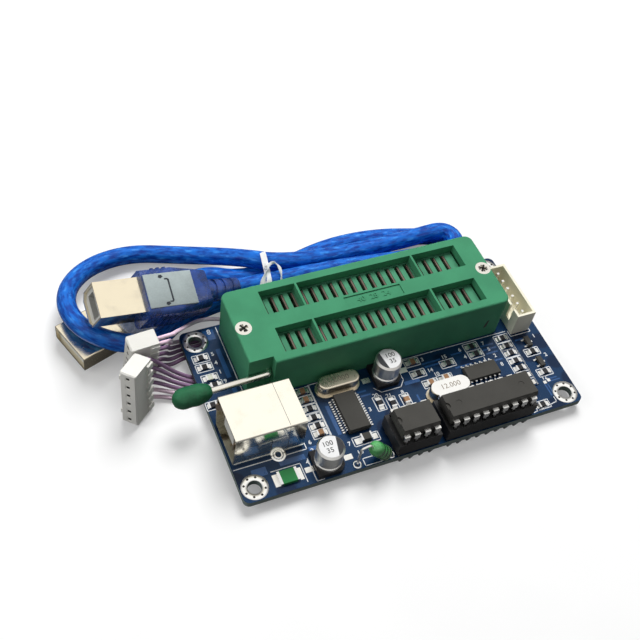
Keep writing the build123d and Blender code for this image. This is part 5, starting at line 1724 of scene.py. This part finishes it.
@dataclass
class LeverGrip:
    """Dipped grip of the lever, a little lumpy and blunt at both ends."""

    centre: Point = (-46.5, 2.0, 8.1)
    axis: Point = (0.9987, 0.0, 0.0517)
    length: float = 9.3
    radius: float = 2.45

    def build(self) -> None:
        """Make the grip."""
        shape = Shape("lever_grip")
        profile = []
        for step in range(29):
            share = -1.0 + 2.0 * step / 28
            reach = max(1.0 - abs(share) ** 2.7, 0.0) ** 0.46
            profile.append((self.radius * reach * (1.0 - 0.06 * share), share * self.length / 2))
        across = Vector(self.axis).orthogonal()
        shape.revolve(profile, 40, frame_matrix(self.centre, tuple(across), self.axis))
        moved = []
        for x, y, z in shape.points:
            lump = math.sin(1.9 * x + 0.7) * math.sin(1.7 * y + 2.1) + math.sin(2.3 * z + 0.9 * x)
            away = Vector((0.0, y - self.centre[1], z - self.centre[2]))
            place = Vector((x, y, z)) + away * (0.022 * lump)
            moved.append(tuple(place))
        shape.points = moved
        ridden(shape.build(KNOB_GREEN, 60.0), Body.LEVER, "knob_green", "lever_knob")


@dataclass
class CanTops:
    """Printed tops of the two electrolytic capacitors and of the crystals, and a painted highlight on the
    second crystal's top.
    """

    centres: Sequence[Flat] = ((-22.5, -19.7), (-0.5, -2.4))
    crystals: Sequence[Flat] = ((-12.6, -1.95), (11.85, -11.65))
    radius: float = 2.72
    cut: float = 1.35

    def build(self, cans_top: float, crystal_top: float) -> None:
        """Make the white tops, their dark sides, their numbers and the painted highlight on the second
        crystal.

        Args:
            cans_top: Height of the capacitors' tops, in millimetres.
            crystal_top: Height of the crystals' tops, in millimetres.
        """
        pale, dark = Shape("capacitor_tops"), Shape("capacitor_marks")
        numbers = []
        for index, (x, y) in enumerate(self.centres):
            away = math.radians(-12.0) if index == 0 else math.radians(188.0)
            limit = math.acos(self.cut / self.radius)
            arc = [away - limit + 2 * limit * i / 14 for i in range(15)]
            rest = [away + limit + (math.tau - 2 * limit) * i / 30 for i in range(31)]
            for shape, angles in ((dark, arc), (pale, rest)):
                outline = [(x + self.radius * math.cos(a), y + self.radius * math.sin(a)) for a in angles]
                shape.prism(outline, cans_top, cans_top + 0.02)
            mid_x = x - 0.55 * math.cos(away)
            for text, shift in (("100", 0.85), ("35", -0.85)):
                numbers.append(Numeral(text, 1.7, (mid_x, y + shift, cans_top + 0.03), 0.0, 0.02))
        ridden(pale.build(SLEEVE_WHITE), Body.ROOT, "can_aluminium")
        ridden(dark.build(SLEEVE_DARK), Body.ROOT, "can_aluminium")
        # A pale plate over the second crystal's top is a painted highlight, not a part of the can.
        painted_highlight = Shape("crystal_painted_highlight")
        x, y = self.crystals[1]
        ends = [(x + side * 2.95 + 1.95 * math.cos(angle), y + 1.95 * math.sin(angle))
                for side in (1, -1)
                for angle in (math.pi * (step / 10 - 0.5 * side) for step in range(11))]
        painted_highlight.prism(ends, crystal_top, crystal_top + 0.006)
        ridden(painted_highlight.build(PAD_TIN), Body.ROOT, "can_nickel")
        for x, y in self.crystals:
            numbers.append(Numeral("12.000", 1.9, (x, y, crystal_top + 0.01), 0.0, 0.015))
        ridden(numerals("can_numbers", numbers[:4], PRINT_BLACK), Body.ROOT, "can_aluminium")
        ridden(numerals("crystal_numbers", numbers[4:], CAN_PRINT), Body.ROOT, "can_nickel")


@dataclass
class Inlet:
    """Seam lines, painted shade in the cuts round a side spring, and mouth springs of the square inlet."""

    patterns: Patterns
    low: Point = (-42.47, -14.31, 1.6)
    high: Point = (-26.13, -2.37, 12.47)
    seam_x: float = -30.03

    def build(self) -> None:
        """Make the seam lines, the painted shade in the spring's cuts and the mouth springs."""
        top, front, back = self.high[2], self.low[1], self.high[1]
        middle = (front + back) / 2
        width = back - front - 0.7
        # The first two plates are dark seam lines; the other three are painted shade in the cuts round the
        # side spring.
        places = [(self.seam_x, middle, top + 0.004), (self.seam_x, front - 0.004, 7.0),
                  (-36.6, front - 0.004, 8.6), (-36.6, front - 0.004, 4.6), (-34.0, front - 0.004, 6.6)]
        reach = [(0.08, width, 0.02), (0.08, 0.02, 10.0),
                 (5.2, 0.02, 0.16), (5.2, 0.02, 0.16), (0.16, 0.02, 4.1)]
        slits = self.patterns.plates.make("inlet_slits", PAINTED_SLOT_SHADE_AND_SEAMS, places, reach)
        ridden(slits, Body.ROOT, "nickel_shell")
        shape = Shape("mouth_springs")
        mouth = self.low[0]
        for side in (-1, 1):
            wall = middle + side * (width / 2 - 0.35)
            line = [Vector((mouth + inside, wall + side * lean, 9.4)) for inside, lean in (
                (3.2, 0.0), (2.0, -0.35), (0.8, -0.55), (0.1, -0.25), (-0.35, 0.15))]
            sides = [Vector((0.0, 0.0, 1.0))] * len(line)
            shape.band(line, sides, [(-1.1, -0.12), (1.1, -0.12), (1.1, 0.12), (-1.1, 0.12)])
        ridden(shape.build(BRONZE, 50.0), Body.ROOT, "nickel_shell")


# ---- Finishes of the carried-over solids -----------------------------------------------------
NODE_FINISHES: dict[str, object] = {
    "circuit_board": SolderMask(), "solder_joints": SOLDER,
    "usb_socket_shell": INLET_NICKEL, "usb_socket_insulator": INSULATOR, "usb_socket_contacts": GILT,
    "zif_base": SOCKET_GREEN, "zif_cover": SOCKET_GREEN, "contact_slider": SLIDER_GREEN,
    "zif_contacts": BRONZE, "cover_screws": STEEL, "clamp_lever": STEEL, "lever_knob": KNOB_GREEN,
    "controller_socket": SOCKET_BLACK, "controller_socket_contacts": TIN, "controller_chip": EPOXY,
    "controller_leads": TIN, "memory_socket": SOCKET_BLACK, "memory_socket_contacts": TIN,
    "memory_chip": EPOXY, "memory_leads": TIN, "usb_bridge_chip": EPOXY, "usb_bridge_leads": TIN,
    "logic_chip": EPOXY, "logic_leads": TIN, "crystal_cans": CAN_NICKEL, "crystal_bases": CAN_NICKEL,
    "capacitor_cans": ALUMINIUM, "capacitor_bases": BASE_BLACK, "choke_body": DippedGreen(),
    "choke_leads": TIN, "resettable_fuse": FUSE_GREEN, "fuse_terminals": SOLDER,
    "chip_resistors": RESISTOR_BLACK, "chip_capacitors": CERAMIC_TAN, "chip_terminals": SOLDER,
    "indicator_led": LAMP_LENS, "diode": EPOXY, "transistors": EPOXY, "transistor_leads": TIN,
    "programming_header": HEADER_CREAM, "header_pins": TIN, "wire_plug_front": PLUG_WHITE,
    "wire_plug_back": PLUG_WHITE, "usb_b_plug_shell": NICKEL, "usb_b_plug_insert": INSULATOR,
    "usb_b_plug_overmould": GRIP_DEEP, "usb_a_plug_shell": NICKEL, "usb_a_plug_insert": INSULATOR,
    "usb_a_plug_overmould": GRIP_PALE, "twist_tie": TIE_WHITE, "usb_cable_hank": ClearSkin(),
    "usb_cable_loop": ClearSkin(), "usb_cable_a_lead": ClearSkin(), "usb_cable_b_lead": ClearSkin(),
    **{f"programming_wire_{index}": WIRE_PALE if index < 3 else WIRE_MAUVE for index in range(1, 7)},
}
FRAME_NODES: dict[str, bpy.types.Object] = {}


def dress_nodes() -> None:
    """Give every carried-over solid its finish."""
    for name, piece in FRAME_NODES.items():
        material = SHELF.get(NODE_FINISHES[name])
        if not piece.material_slots:
            piece.data.materials.append(material)
        for slot in piece.material_slots:
            slot.material = material
        LOG.info("%s: %s", name, material.name)


def top_of(node: str) -> float:
    """Height of a node's top, in millimetres."""
    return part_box(node)[1].z / MM


def main() -> None:
    """Load the frame and dress it."""
    logging.basicConfig(level=logging.INFO, format="%(name)s: %(message)s")
    FRAME_NODES.update(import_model()["nodes"])
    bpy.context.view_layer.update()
    patterns = Patterns()
    Studio().build()
    DataCable().build()
    WireLead(patterns).build()
    SquarePlug(patterns).build()
    dress_nodes()
    BoardFace(patterns).build()
    LeverSocket(patterns).build()
    LeverGrip().build()
    CanTops().build(top_of("capacitor_cans"), top_of("crystal_cans"))
    Inlet(patterns).build()


if __name__ == "__main__":
    main()
